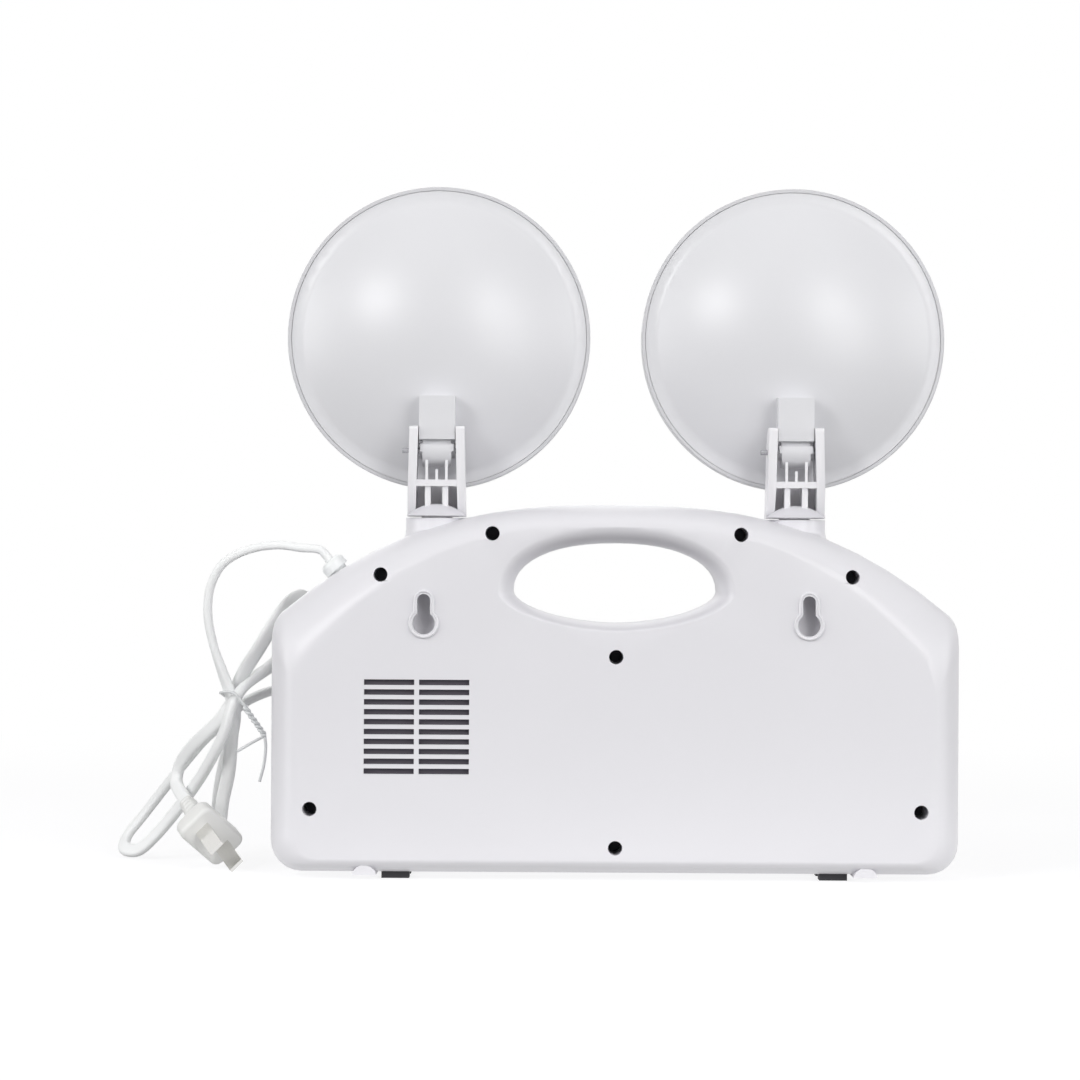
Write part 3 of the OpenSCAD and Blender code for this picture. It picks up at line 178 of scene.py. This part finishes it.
camera = bpy.data.objects.new("camera", bpy.data.cameras.new("camera"))
camera.location = CAMERA_PLACE
camera.rotation_euler = (math.radians(90), math.radians(CAMERA_ROLL_DEG), 0)
camera.data.sensor_width = SENSOR_MM
camera.data.lens = SENSOR_MM * FACE_DISTANCE / FRAME_WIDTH_AT_FACE
camera.data.clip_end = CAMERA_REACH
bpy.context.scene.collection.objects.link(camera)
bpy.context.scene.camera = camera
bpy.context.scene.view_settings.view_transform = "Standard"


# Lamps and surroundings

SOFT_BOXES = (
    # name, place, the point it faces, size, watts
    ("left_box", (-1.02, -1.55, 0.86), (0, 0, 0.16), 0.5, 10.6),
    ("right_box", (0.68, -1.72, 0.88), (0, 0, 0.16), 0.5, 5.6),
    ("low_box", (0.9, -1.6, 0.42), (0, 0, 0.15), 0.8, 7.6),
    ("left_side_box", (-1.5, -0.5, 0.42), (0, 0, 0.15), 0.8, 7.6),
    ("right_side_box", (1.5, -0.5, 0.42), (0, 0, 0.15), 0.8, 6.5),
    ("top_box", (0.0, -0.5, 1.45), (0, 0, 0.1), 1.5, 2.6),
    ("front_box", (-0.3, 1.8, 0.9), (0, 0, 0.15), 1.2, 4.0),
)
for name, place, faces, size, watts in SOFT_BOXES:
    lamp = bpy.data.lights.new(name, "AREA")
    lamp.shape = "SQUARE"
    lamp.size = size
    lamp.energy = watts
    holder = bpy.data.objects.new(name, lamp)
    holder.location = place
    holder.rotation_euler = (Vector(faces) - Vector(place)).to_track_quat("-Z", "Y").to_euler()
    bpy.context.scene.collection.objects.link(holder)

WHITE = linear("#FFFFFF")
GLOW_BELOW, GLOW_ABOVE = 0.18, 0.38
# The heights, as the z of a direction, between which the glow grows
GLOW_FROM, GLOW_TO = -0.6, 0.9

# White all round for the camera, glass and gloss; what matt surfaces get is dimmer, and dimmest from below
world = bpy.data.worlds.new("studio")
bpy.context.scene.world = world
tree = empty_tree(world)
way = add(tree, "ShaderNodeSeparateXYZ", {0: add(tree, "ShaderNodeTexCoord").outputs["Generated"]})
strength = add(tree, "ShaderNodeMapRange", {"Value": way.outputs["Z"]},
               {"From Min": GLOW_FROM, "From Max": GLOW_TO, "To Min": GLOW_BELOW, "To Max": GLOW_ABOVE})
glow = add(tree, "ShaderNodeBackground", {"Strength": strength.outputs[0]}, {"Color": WHITE})
plain_white = add(tree, "ShaderNodeBackground", values={"Color": WHITE, "Strength": 1.0})
both = add(tree, "ShaderNodeMixShader",
           {0: background_rays(tree), 1: glow.outputs[0], 2: plain_white.outputs[0]})
add(tree, "ShaderNodeOutputWorld", {0: both.outputs[0]})


# Finishes

# The spacing of the cloud, the height of the relief, how far the roughness drifts and how low it may go
CLOUD_MM, RELIEF_MM = 45, 0.06
GLOSS_DRIFT, GLOSS_LIMIT = 0.06, 0.02


def finish(name, colour, roughness, *, ior=1.5, metallic=0.0, grain_mm=0.5, grain=0.05, cloud=0.015,
           sheen=0.0, transmission=0.0):
    """A surface whose colour has a faint cloud in it, and whose gloss and relief have a grain.

    cloud is how far the colour drifts, grain how strong the relief is and grain_mm its spacing. The real
    grain is finer than a pixel of the render, so the spacing is as coarse as it needs to be to show."""
    material = bpy.data.materials.new(name)
    tree = empty_tree(material)
    place = add(tree, "ShaderNodeTexCoord").outputs["Object"]
    drift = add(tree, "ShaderNodeTexNoise", {"Vector": place}, {"Scale": 1 / (CLOUD_MM * MM), "Detail": 2.0})
    fine = add(tree, "ShaderNodeTexNoise", {"Vector": place}, {"Scale": 1 / (grain_mm * MM), "Detail": 3.0})
    base = linear(colour)[:3]
    tone = add(tree, "ShaderNodeMix", {"Factor": drift.outputs[0]}, data_type="RGBA")
    deep, pale = [socket for socket in tone.inputs if socket.type == "RGBA"]
    deep.default_value = [c * (1 - 2 * cloud) for c in base] + [1]
    pale.default_value = [min(c * (1 + cloud), 1) for c in base] + [1]
    shade = next(socket for socket in tone.outputs if socket.type == "RGBA")
    gloss = add(tree, "ShaderNodeMapRange", {"Value": fine.outputs[0]},
                {"To Min": max(roughness - GLOSS_DRIFT, GLOSS_LIMIT), "To Max": roughness + GLOSS_DRIFT})
    relief = add(tree, "ShaderNodeBump", {"Height": fine.outputs[0]},
                 {"Strength": grain, "Distance": RELIEF_MM * MM})
    surface = add(tree, "ShaderNodeBsdfPrincipled",
                  {"Base Color": shade, "Roughness": gloss.outputs[0], "Normal": relief.outputs[0]},
                  {"Metallic": metallic, "IOR": ior, "Sheen Weight": sheen,
                   "Transmission Weight": transmission})
    add(tree, "ShaderNodeOutputMaterial", {0: surface.outputs[0]})
    return material


# ABS, injection moulded in a spark-eroded tool: off-white with a lavender cast and a satin gloss
case_abs = finish("case_abs", "#E1E0E4", 0.38, ior=1.53, grain_mm=0.9, grain=0.06, cloud=0.012)
# ABS from a polished tool: the same white, glossy enough for the lamps to show in it
head_abs = finish("head_abs", "#DDDDE0", 0.34, ior=1.53, grain_mm=1.4, grain=0.03, cloud=0.012)
# The same white ABS on the bezel, with painted shade: a shade darker all round than the head's
shaded_bezel_abs = finish("shaded_bezel_abs", "#D0D0D3", 0.34, ior=1.53, grain_mm=1.2, grain=0.03)
# ABS, moulded smooth: a plain light grey that sets the button off from the case
button_abs = finish("button_abs", "#C9C9CF", 0.32, grain_mm=0.9, grain=0.04)
# ABS filled with carbon black, moulded: near black with a soft shine
dark_abs = finish("dark_abs", "#2A292D", 0.5, grain_mm=0.8, grain=0.10)
# Nylon, moulded: a cooler, whiter satin
yoke_nylon = finish("yoke_nylon", "#EBEAED", 0.42, ior=1.53, grain_mm=0.8, grain=0.05)
# The same nylon on the domed foot, with painted shade: a shade greyer, since it faces the lamps, so that it
# reads as the yoke does
shaded_foot_nylon = finish("shaded_foot_nylon", "#D2D1D6", 0.48, ior=1.53, grain_mm=0.8, grain=0.05)
# Nylon, moulded small and smooth: the whitest of the mouldings
gland_nylon = finish("gland_nylon", "#EFF1F1", 0.40, ior=1.53, grain_mm=0.9, grain=0.05)
# Plasticised PVC, extruded over the cores: cool white and waxy, with a soft sheen
cord_pvc = finish("cord_pvc", "#F4F5F5", 0.5, ior=1.54, grain_mm=1.1, grain=0.10, cloud=0.02)
# PVC, moulded round the blades: a warmer and slightly glossier white than the lead's
plug_pvc = finish("plug_pvc", "#E4E4E2", 0.40, ior=1.54, grain_mm=0.9, grain=0.08, cloud=0.02)
# PVC, coated on the tie's wire: a dull pale grey
tie_pvc = finish("tie_pvc", "#DADCDD", 0.50, ior=1.54, grain_mm=0.7, grain=0.10)
# Natural rubber with carbon black, cut from sheet: dark and dull
foot_rubber = finish("foot_rubber", "#37363A", 0.75, grain_mm=0.5, grain=0.35, cloud=0.05)
# Polyester felt, die-cut from a dark sheet, behind the vent: its even dark grey is painted shade for the
# hollow inside the case
screen_felt = finish("screen_felt", "#504C54", 0.9, grain_mm=0.6, grain=0.5, cloud=0.06, sheen=0.2)
# Steel, blackened in oil: the screws at the bottom of their wells
black_oxide = finish("black_oxide", "#46454D", 0.55, grain_mm=0.4, grain=0.12, cloud=0.05)
# Steel, drawn and ground: bright, with a tight highlight along the tilt pins
bright_steel = finish("bright_steel", "#A9A9AD", 0.28, metallic=1.0, grain_mm=0.3, grain=0.10)
# Steel under zinc plate, cold headed: paler and softer than the bare steel
zinc_steel = finish("zinc_steel", "#B9BBC0", 0.35, metallic=1.0, grain_mm=0.4, grain=0.12)
# Brass under nickel plate, stamped from strip: a pale mirror with a fine haze
nickel_blade = finish("nickel_blade", "#E4E3E0", 0.20, metallic=1.0, grain_mm=0.35, grain=0.08, cloud=0.03)
# Polycarbonate, clear and polished, with the reflector showing behind it
clear_lens = finish("clear_lens", "#F7FAFC", 0.05, ior=1.585, transmission=1.0, grain=0.0, cloud=0.0)
# Aluminium, evaporated onto a moulded dish: a mirror that the mould's skin barely softens
mirror_film = finish("mirror_film", "#D9DADD", 0.12, metallic=1.0, grain_mm=3.0, grain=0.05)
# White solder mask, printed on the lamp's board: clean white with a slight gloss
white_mask = finish("white_mask", "#E9EAEA", 0.35, grain_mm=0.6, grain=0.04)
# Phosphor in silicone, cast over the chips: a matt egg-yolk yellow
phosphor = finish("phosphor", "#F0D45A", 0.45, grain_mm=0.4, grain=0.08)
# Epoxy, tinted and cast round the indicators: coloured glass to the eye, lit a little from within
green_epoxy = finish("green_epoxy", "#35B35A", 0.12, grain=0.02, transmission=0.25)
red_epoxy = finish("red_epoxy", "#D23A2E", 0.12, grain=0.02, transmission=0.25)
yellow_epoxy = finish("yellow_epoxy", "#E8B92F", 0.12, grain=0.02, transmission=0.25)
# Glass fibre board under green solder mask: glossy green with the weave as a faint cloud
solder_mask = finish("solder_mask", "#1F6B3D", 0.3, grain_mm=1.5, grain=0.08, cloud=0.06)
# Silicon iron, stacked and varnished: blue-grey and a little rough at the edges of the sheets
varnished_iron = finish("varnished_iron", "#5A5C60", 0.4, metallic=0.4, grain_mm=0.5, grain=0.2)
# Copper wire under clear enamel, wound tight: reddish brown with broken highlights
enamelled_wire = finish("enamelled_wire", "#B5702E", 0.3, metallic=0.7, grain_mm=0.5, grain=0.3)
# PVC sleeves, shrunk on: dark blue and glossy on the capacitors, bright blue on the cells
shrink_sleeve = finish("shrink_sleeve", "#2E2F55", 0.35, grain_mm=1.0, grain=0.05)
battery_wrap = finish("battery_wrap", "#2F6FB5", 0.32, grain_mm=1.2, grain=0.05)

WORN_BY = {
    "rear_cover": case_abs, "front_cover": case_abs, "case_screws": black_oxide, "vent_screen": screen_felt,
    "foot_pads": foot_rubber, "cord_gland": gland_nylon, "power_cord": cord_pvc, "cord_hank": cord_pvc,
    "twist_tie": tie_pvc, "plug_body": plug_pvc, "plug_pins": nickel_blade, "battery_pack": battery_wrap,
    "battery_clamp": dark_abs, "clamp_screws": zinc_steel, "control_board": solder_mask,
    "transformer_core": varnished_iron, "transformer_winding": enamelled_wire, "capacitors": shrink_sleeve,
    "board_screws": zinc_steel, "mains_led": green_epoxy, "charge_led": red_epoxy, "fault_led": yellow_epoxy,
    "test_button": button_abs, "test_switch": dark_abs,
}
for side, _ in SIDES:
    WORN_BY.update({
        side + "_yoke": yoke_nylon, side + "_tilt_pin": bright_steel, side + "_head_shell": head_abs,
        side + "_bezel": shaded_bezel_abs, side + "_lens": clear_lens, side + "_reflector": mirror_film,
        side + "_led_board": white_mask, side + "_led_chips": phosphor})
for node_name, node in nodes.items():
    node.data.materials.clear()
    node.data.materials.append(WORN_BY[node_name])


# Where the lead leaves the gland and where the plug lies

GLAND_TIP = Vector((-0.11113, 0, 0.12209))
GLAND_LEAN = math.radians(42)
gland_way = Vector((-math.sin(GLAND_LEAN), 0, math.cos(GLAND_LEAN)))

PLUG_PLACE = Vector((-0.1575, 0.018, 0.0126))
PLUG_ROLL, PLUG_TURN = math.radians(45), math.radians(35)
PLUG_LENGTH = 0.030
# In the plug's own frame x runs between the blades, y across them and z out of its face
plug_frame = (Matrix.Translation(PLUG_PLACE) @ Matrix.Rotation(PLUG_ROLL, 4, "Y")
              @ Matrix.Rotation(PLUG_TURN, 4, "Z") @ Matrix.Rotation(math.radians(90), 4, "X"))
plug_way = plug_frame.to_3x3() @ Vector((0, 0, 1))


# Lead

CORD_WIDE, CORD_THICK = 0.0056, 0.0036
CORD_STEPS = 6

# The route of the lead in millimetres: the free stretch from the gland down to the tie
FREE_ROUTE = [
    (-122.5, 1, 127), (-131, 3, 128), (-140, 5.5, 127), (-148.5, 8, 124), (-154.8, 10.3, 119),
    (-158.8, 12.5, 110.5), (-159.6, 14, 100), (-157.6, 15.5, 89), (-154.2, 16.5, 78.5),
]
# and the folds of the hank, from the tie round to the plug
HANK_ROUTE = [
    (-150.5, 17, 68), (-150, 18, 59), (-151, 23, 48.5), (-152.5, 31, 37.5), (-155.5, 40, 25.5),
    (-157.5, 48, 12.5), (-159.5, 57, 4), (-160, 67, 5), (-160, 71, 15), (-159, 67, 26.5), (-156.5, 56, 37),
    (-153, 40, 47.5), (-150, 24, 58), (-149.5, 22, 67.5), (-146.2, 22.5, 77.3), (-140.8, 28, 86.5),
    (-134.8, 37, 97.3), (-129.2, 47, 105.5), (-124, 58, 107), (-124, 66, 99.5), (-128, 61.5, 90),
    (-134.5, 42, 82.5), (-141, 22, 76), (-146, 13.5, 71.5), (-150, 11.5, 64.5), (-152.5, 13.5, 56),
    (-157, 22, 46.5), (-163.8, 40, 36), (-171, 56.5, 26.5), (-178, 62.5, 17.5), (-185, 65, 9.5),
    (-191.5, 67.5, 3.9), (-197.8, 72.5, 4), (-197.5, 78.5, 8.6), (-191.5, 80.5, 16.5), (-184.8, 78, 25),
    (-178, 72.5, 33.5), (-170.8, 63, 42), (-162.5, 49.5, 51), (-154, 37.5, 58.2), (-148, 37.5, 64.4),
    (-140.5, 46, 68.2), (-132.5, 57.5, 70.4), (-125, 67, 71.6), (-118.6, 71.5, 72.8), (-113.8, 72.5, 78.5),
    (-117.8, 69.5, 84.2), (-126.5, 62, 84), (-134, 51.5, 81), (-141, 40, 76.5), (-147.3, 30.5, 71.5),
    (-151.2, 27, 65), (-155.8, 28.5, 58.5), (-161.5, 33.5, 53), (-167, 41.5, 48), (-171.3, 49.5, 43),
    (-174.6, 55.8, 37.5), (-175.3, 54.8, 31.5),
]
# It leaves the gland, and enters the plug, straight for its own width
cord_line = eased([GLAND_TIP, GLAND_TIP + gland_way * CORD_WIDE]
                  + in_metres(FREE_ROUTE + HANK_ROUTE)
                  + [PLUG_PLACE - plug_way * (PLUG_LENGTH + CORD_WIDE), PLUG_PLACE - plug_way * PLUG_LENGTH],
                  CORD_STEPS)
# The number of the line's point at which the tie holds the lead
tie_at = (len(FREE_ROUTE) + 2) * CORD_STEPS

# The lead stands edge-on to the camera until this share of the way to the tie, and then turns over the next
TURN_STARTS, TURN_TAKES = 0.78, 0.3


def edge_on(i):
    """How far the lead stands edge-on to the camera: fully on the free stretch, not at all in the hank."""
    u = min(max((i / tie_at - TURN_STARTS) / TURN_TAKES, 0), 1)
    return 1 - u * u * (3 - 2 * u)


SECTION_POINTS = 20
# Powers below 1 square the oval off: the jacket is flatter than an ellipse
WIDE_POWER, THICK_POWER = 0.8, 0.75
# The groove between the two cores, as shares of half the thickness and half the width
GROOVE_DEPTH, GROOVE_WIDTH = 0.22, 0.2


def twin_section():
    """Flat twin lead: an oval with a shallow groove along both faces, between the two cores."""
    made = []
    for x, y in circle(1, SECTION_POINTS, start=0.5):
        x = math.copysign(abs(x) ** WIDE_POWER, x)
        y = math.copysign(abs(y) ** THICK_POWER, y)
        y *= 1 - GROOVE_DEPTH * math.exp(-(x / GROOVE_WIDTH) ** 2)
        made.append((x * CORD_WIDE / 2, y * CORD_THICK / 2))
    return made


bm = bmesh.new()
sweep(bm, cord_line, Vector((gland_way.z, 0, -gland_way.x)), twin_section(),
      turned_to=FRONTWARD, share=edge_on)
cord = piece_from(bm, "flat_twin_lead", cord_pvc)


# Twist tie: a ring round the hank, its two ends plaited on the rear side, and two loose tails

TIE_RING = [
    (-143.8, 6.5, 64.2), (-147.6, 6.7, 69.2), (-150.6, 7.4, 70.6), (-153.3, 9.6, 70.2), (-154.5, 14, 69.8),
    (-154.6, 22, 69.3), (-154.4, 30, 68.3), (-152.8, 38, 66.4), (-149.4, 41.8, 63.9), (-146.4, 40.6, 61.6),
    (-145, 35, 60.9), (-144.7, 24, 61.6), (-144.3, 13, 62.6), (-144.1, 9.4, 63.1), (-143.9, 7.4, 63.7),
    (-143.9, 6.6, 63.9),
]
TIE_PLAIT = [
    (-144.2, 6.6, 64.6), (-142.4, 6.3, 61.8), (-140.2, 6, 58.8), (-138.2, 5.7, 56), (-136.4, 5.4, 53.4),
]
TIE_TAILS = [
    [TIE_PLAIT[-1], (-139.6, 5, 51.8), (-143.4, 4.7, 49.6), (-147.1, 4.6, 47.4)],
    [TIE_PLAIT[-1], (-136, 5, 49), (-136.6, 4.8, 42.5), (-138.3, 4.6, 35.6)],
]
WIRE_RADIUS, WIRE_POINTS = 0.62 * MM, 10
STRANDS, PLAIT_TURNS, PLAIT_RADIUS = 2, 3.4, 0.60 * MM
RING_STEPS, PLAIT_STEPS = 6, 12

wire = circle(WIRE_RADIUS, WIRE_POINTS)
bm = bmesh.new()
sweep(bm, eased(in_metres(TIE_RING), RING_STEPS), UP, wire)
plait = frames_along(eased(in_metres(TIE_PLAIT), PLAIT_STEPS), UP)
for strand in range(STRANDS):
    winding = []
    for i, (here, across, through) in enumerate(plait):
        turn = 2 * math.pi * (PLAIT_TURNS * i / (len(plait) - 1) + strand / STRANDS)
        winding.append(here + (across * math.cos(turn) + through * math.sin(turn)) * PLAIT_RADIUS)
    sweep(bm, winding, UP, wire)
for tail in TIE_TAILS:
    sweep(bm, eased(in_metres(tail), RING_STEPS), FRONTWARD, wire)
tie = piece_from(bm, "wire_tie", tie_pvc)
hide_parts("twist_tie")


# Plug

PLUG_POINTS = 32


def rounded(width, height, corner):
    """A rectangle with rounded corners, as points in the plug's x and y."""
    made = []
    for x, y in circle(corner, PLUG_POINTS, start=0.5):
        made.append(((math.copysign(width / 2 - corner, x) + x) * MM,
                     (math.copysign(height / 2 - corner, y) + y) * MM))
    return made


# The flange with its rounded edges, the shoulder and the neck
PLUG_SECTIONS = [
    # width, height, corner radius, distance behind the face
    (21.6, 13.6, 2.8, 0.0), (23.4, 15.4, 3.2, 0.25), (24.2, 16.2, 3.4, 0.9), (24.4, 16.4, 3.4, 1.8),
    (24.2, 16.2, 3.4, 6.6), (23.4, 15.4, 3.4, 7.6), (21.6, 13.8, 3.4, 8.2), (17.6, 12.4, 3.6, 8.6),
    (16.0, 11.6, 3.8, 9.0), (15.0, 11.0, 3.8, 12.6), (14.0, 10.2, 3.8, 14.4), (12.0, 8.8, 3.6, 15.2),
]
# The relief's ribs shrink towards the lead. Each has a foot, a land that stands out of it and a groove
RIBS, FIRST_RIB, RIB_PITCH = 6, 15.4, 2.4
RIB_WIDTH, RIB_TAPER, RIB_FLATNESS = 9.4, 0.45, 0.80
LAND_RISE, LAND_FROM, LAND_TO = 0.5, 0.3, 1.3
GROOVE_AT, GROOVE_NARROWER, GROOVE_THINNER = 1.6, 0.5, 1.2
# The corners of foot, land and groove, as shares of the rib's width
FOOT_CORNER, LAND_CORNER, GROOVE_CORNER = 0.33, 0.36, 0.25
for rib in range(RIBS):
    behind = FIRST_RIB + rib * RIB_PITCH
    width = RIB_WIDTH - rib * RIB_TAPER
    height = width * RIB_FLATNESS
    land = (width + LAND_RISE, height + LAND_RISE, width * LAND_CORNER)
    PLUG_SECTIONS += [
        (width, height, width * FOOT_CORNER, behind), (*land, behind + LAND_FROM), (*land, behind + LAND_TO),
        (width - GROOVE_NARROWER, height - GROOVE_THINNER, width * GROOVE_CORNER, behind + GROOVE_AT)]
# Where it fits round the lead
PLUG_SECTIONS += [(6.4, 4.8, 2.0, 29.6), (5.8, 4.0, 1.8, 30.0)]

bm = bmesh.new()
loft(bm, [[plug_frame @ Vector((x, y, -behind * MM)) for x, y in rounded(width, height, corner)]
          for width, height, corner, behind in PLUG_SECTIONS])
plug = piece_from(bm, "plug_moulding", plug_pvc)
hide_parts("plug_body")

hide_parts("power_cord", "cord_hank")


# Case, yokes and heads

# Facets that meet at less than this are one curved skin; the rear cover's band and face meet at more, and
# its crease is soft as well
SHARP_DEG, COVER_SHARP_DEG = 32, 72
MERGE_MM, SLIVER_MM = 0.002, 0.001
NORMAL_WEIGHT = 60


def smoothed(node_name, new_name, body, worn, sharp_deg=SHARP_DEG):
    """A copy of a moulding with its facets joined up and shaded as one continuous skin."""
    bm = bmesh.new()
    bm.from_mesh(nodes[node_name].data)
    bmesh.ops.remove_doubles(bm, verts=bm.verts, dist=MERGE_MM * MM)
    bmesh.ops.dissolve_degenerate(bm, edges=bm.edges, dist=SLIVER_MM * MM)
    for face in bm.faces:
        face.smooth = True
    for edge in bm.edges:
        edge.smooth = len(edge.link_faces) == 2 and edge.calc_face_angle(0) < math.radians(sharp_deg)
    mesh = bpy.data.meshes.new(new_name)
    bm.to_mesh(mesh)
    bm.free()
    mesh.materials.append(worn)
    piece = bpy.data.objects.new(new_name, mesh)
    bpy.context.scene.collection.objects.link(piece)
    even = piece.modifiers.new("even_normals", "WEIGHTED_NORMAL")
    even.keep_sharp = True
    even.weight = NORMAL_WEIGHT
    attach(piece, body)
    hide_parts(node_name)


smoothed("rear_cover", "rear_moulding", "case", case_abs, sharp_deg=COVER_SHARP_DEG)
smoothed("front_cover", "front_moulding", "case", case_abs)
smoothed("cord_gland", "gland_moulding", "case", gland_nylon)
for side, _ in SIDES:
    smoothed(side + "_yoke", side + "_yoke_moulding", side + "_yoke_body", yoke_nylon)
    smoothed(side + "_head_shell", side + "_shell_moulding", side + "_head_body", head_abs)
    smoothed(side + "_bezel", side + "_bezel_moulding", side + "_head_body", shaded_bezel_abs)


# Rims of the keyholes

# In millimetres: the entry's centre, its radius, and the slot's half width and rise above the entry
KEYHOLE_OUT, KEYHOLE_UP = 73.7, 98.6
ENTRY_RADIUS, SLOT_RADIUS, SLOT_RISE = 4.3, 2.45, 8.65
# The rim is a bead that runs round the keyhole a little outside it, half sunk in the raised plate
RIM_OUTSIDE, RIM_DEPTH, RIM_RADIUS = 1.1, -28.55, 0.55 * MM
ENTRY_STEPS, SLOT_STEPS, RIM_POINTS = 24, 12, 10


def keyhole_outline(centre, outside, depth):
    """Points round a keyhole, from the slot's foot round the entry and back over the slot's end."""
    entry, slot = ENTRY_RADIUS + outside, SLOT_RADIUS + outside
    meet = math.degrees(math.asin(slot / entry))
    made = []
    for k in range(ENTRY_STEPS + 1):
        turn = math.radians(90 - meet - (360 - 2 * meet) * k / ENTRY_STEPS)
        made.append((entry * math.cos(turn), entry * math.sin(turn)))
    for k in range(SLOT_STEPS + 1):
        turn = math.pi * (1 - k / SLOT_STEPS)
        made.append((slot * math.cos(turn), SLOT_RISE + slot * math.sin(turn)))
    return in_metres([(centre + x, depth, KEYHOLE_UP + z) for x, z in made])


def bead(name, outline, radius):
    """A raised bead on the case that follows a closed outline of points in a plane across y."""
    rings = []
    for i, here in enumerate(outline):
        along = (outline[(i + 1) % len(outline)] - outline[i - 1]).normalized()
        out = FRONTWARD.cross(along)
        rings.append([here + out * x + FRONTWARD * y for x, y in circle(radius, RIM_POINTS)])
    bm = bmesh.new()
    loft(bm, rings, endless=True)
    piece_from(bm, name, case_abs)


# Domed feet of the yokes

# In millimetres: a flattened ball on the arms' rear side, cut off where the yoke stands on the case
FOOT_OUT, FOOT_DEPTH, FOOT_CUT = 69.5, -9.3, 139.75
FOOT_RADIUS, FOOT_FLATNESS, FOOT_SUNK = 16.7, 0.40, 12.1
FOOT_SEGMENTS, FOOT_RINGS = 96, 64


def foot_dome(side, m):
    """The domed foot on the rear side of a yoke's two arms."""
    bm = bmesh.new()
    bmesh.ops.create_uvsphere(bm, u_segments=FOOT_SEGMENTS, v_segments=FOOT_RINGS, radius=FOOT_RADIUS * MM)
    bmesh.ops.scale(bm, vec=(1, FOOT_FLATNESS, 1), verts=bm.verts)
    bmesh.ops.translate(bm, vec=Vector((m * FOOT_OUT, FOOT_DEPTH, FOOT_CUT - FOOT_SUNK)) * MM, verts=bm.verts)
    bmesh.ops.bisect_plane(bm, geom=bm.verts[:] + bm.edges[:] + bm.faces[:], plane_co=(0, 0, FOOT_CUT * MM),
                           plane_no=(0, 0, -1), clear_outer=True)
    bmesh.ops.holes_fill(bm, edges=bm.edges, sides=0)
    piece_from(bm, side + "_foot_dome", shaded_foot_nylon, body=side + "_yoke_body")


for side, m in SIDES:
    bead(side + "_keyhole_rim", keyhole_outline(m * KEYHOLE_OUT, RIM_OUTSIDE, RIM_DEPTH), RIM_RADIUS)
    foot_dome(side, m)


# Floor

FLOOR_HALF = 6
# Round the light the paper takes a shadow, and it turns plain white between these distances
SHADOW_TO, WHITE_FROM = 0.3, 1.1
SHADOW_LIFT = 0.78
# A painted pool of bounce light: the paper glows towards the case, full at the case's foot, and none beyond
# the pool's reach
POOL_HALF = (0.12, 0.02, 0)
POOL_REACH, POOL_STRENGTH = 0.16, 0.55

# Paper off the roll, seamless and unprinted: matt white that only a soft shadow tells from the background
seamless_paper = bpy.data.materials.new("seamless_paper")
tree = empty_tree(seamless_paper)
place = add(tree, "ShaderNodeTexCoord").outputs["Object"]
distance = add(tree, "ShaderNodeVectorMath", {0: place}, operation="LENGTH")
far = add(tree, "ShaderNodeMapRange", {"Value": distance.outputs["Value"]},
          {"From Min": SHADOW_TO, "From Max": WHITE_FROM}, interpolation_type="SMOOTHSTEP")
shadowed = add(tree, "ShaderNodeBsdfDiffuse", values={"Color": linear("#959597")})
lift = add(tree, "ShaderNodeEmission", values={"Color": WHITE, "Strength": SHADOW_LIFT})
near = add(tree, "ShaderNodeAddShader", {0: shadowed.outputs[0], 1: lift.outputs[0]})
plain_white = add(tree, "ShaderNodeEmission", values={"Color": WHITE, "Strength": 1.0})
shown = add(tree, "ShaderNodeMixShader", {0: far.outputs[0], 1: near.outputs[0], 2: plain_white.outputs[0]})

# How far a point of the paper lies outside the case's foot
size = add(tree, "ShaderNodeVectorMath", {0: place}, operation="ABSOLUTE")
outside = add(tree, "ShaderNodeVectorMath", {0: size.outputs[0]}, {1: POOL_HALF}, operation="SUBTRACT")
outside = add(tree, "ShaderNodeVectorMath", {0: outside.outputs[0]}, operation="MAXIMUM")
away = add(tree, "ShaderNodeVectorMath", {0: outside.outputs[0]}, operation="LENGTH")
pool = add(tree, "ShaderNodeMapRange", {"Value": away.outputs["Value"]},
           {"From Min": 0.0, "From Max": POOL_REACH, "To Min": POOL_STRENGTH, "To Max": 0.0},
           interpolation_type="SMOOTHSTEP")
# The paper glows here though it is no lamp: painted bounce light for the case
spill = add(tree, "ShaderNodeEmission", {"Strength": pool.outputs[0]}, {"Color": WHITE})
matt = add(tree, "ShaderNodeBsdfDiffuse", values={"Color": linear("#696969")})
matt_and_painted_glow = add(tree, "ShaderNodeAddShader", {0: matt.outputs[0], 1: spill.outputs[0]})
paper = add(tree, "ShaderNodeMixShader",
            {0: background_rays(tree), 1: matt_and_painted_glow.outputs[0], 2: shown.outputs[0]})
add(tree, "ShaderNodeOutputMaterial", {0: paper.outputs[0]})

bm = bmesh.new()
bmesh.ops.create_grid(bm, x_segments=1, y_segments=1, size=FLOOR_HALF)
piece_from(bm, "floor", seamless_paper, body=None)
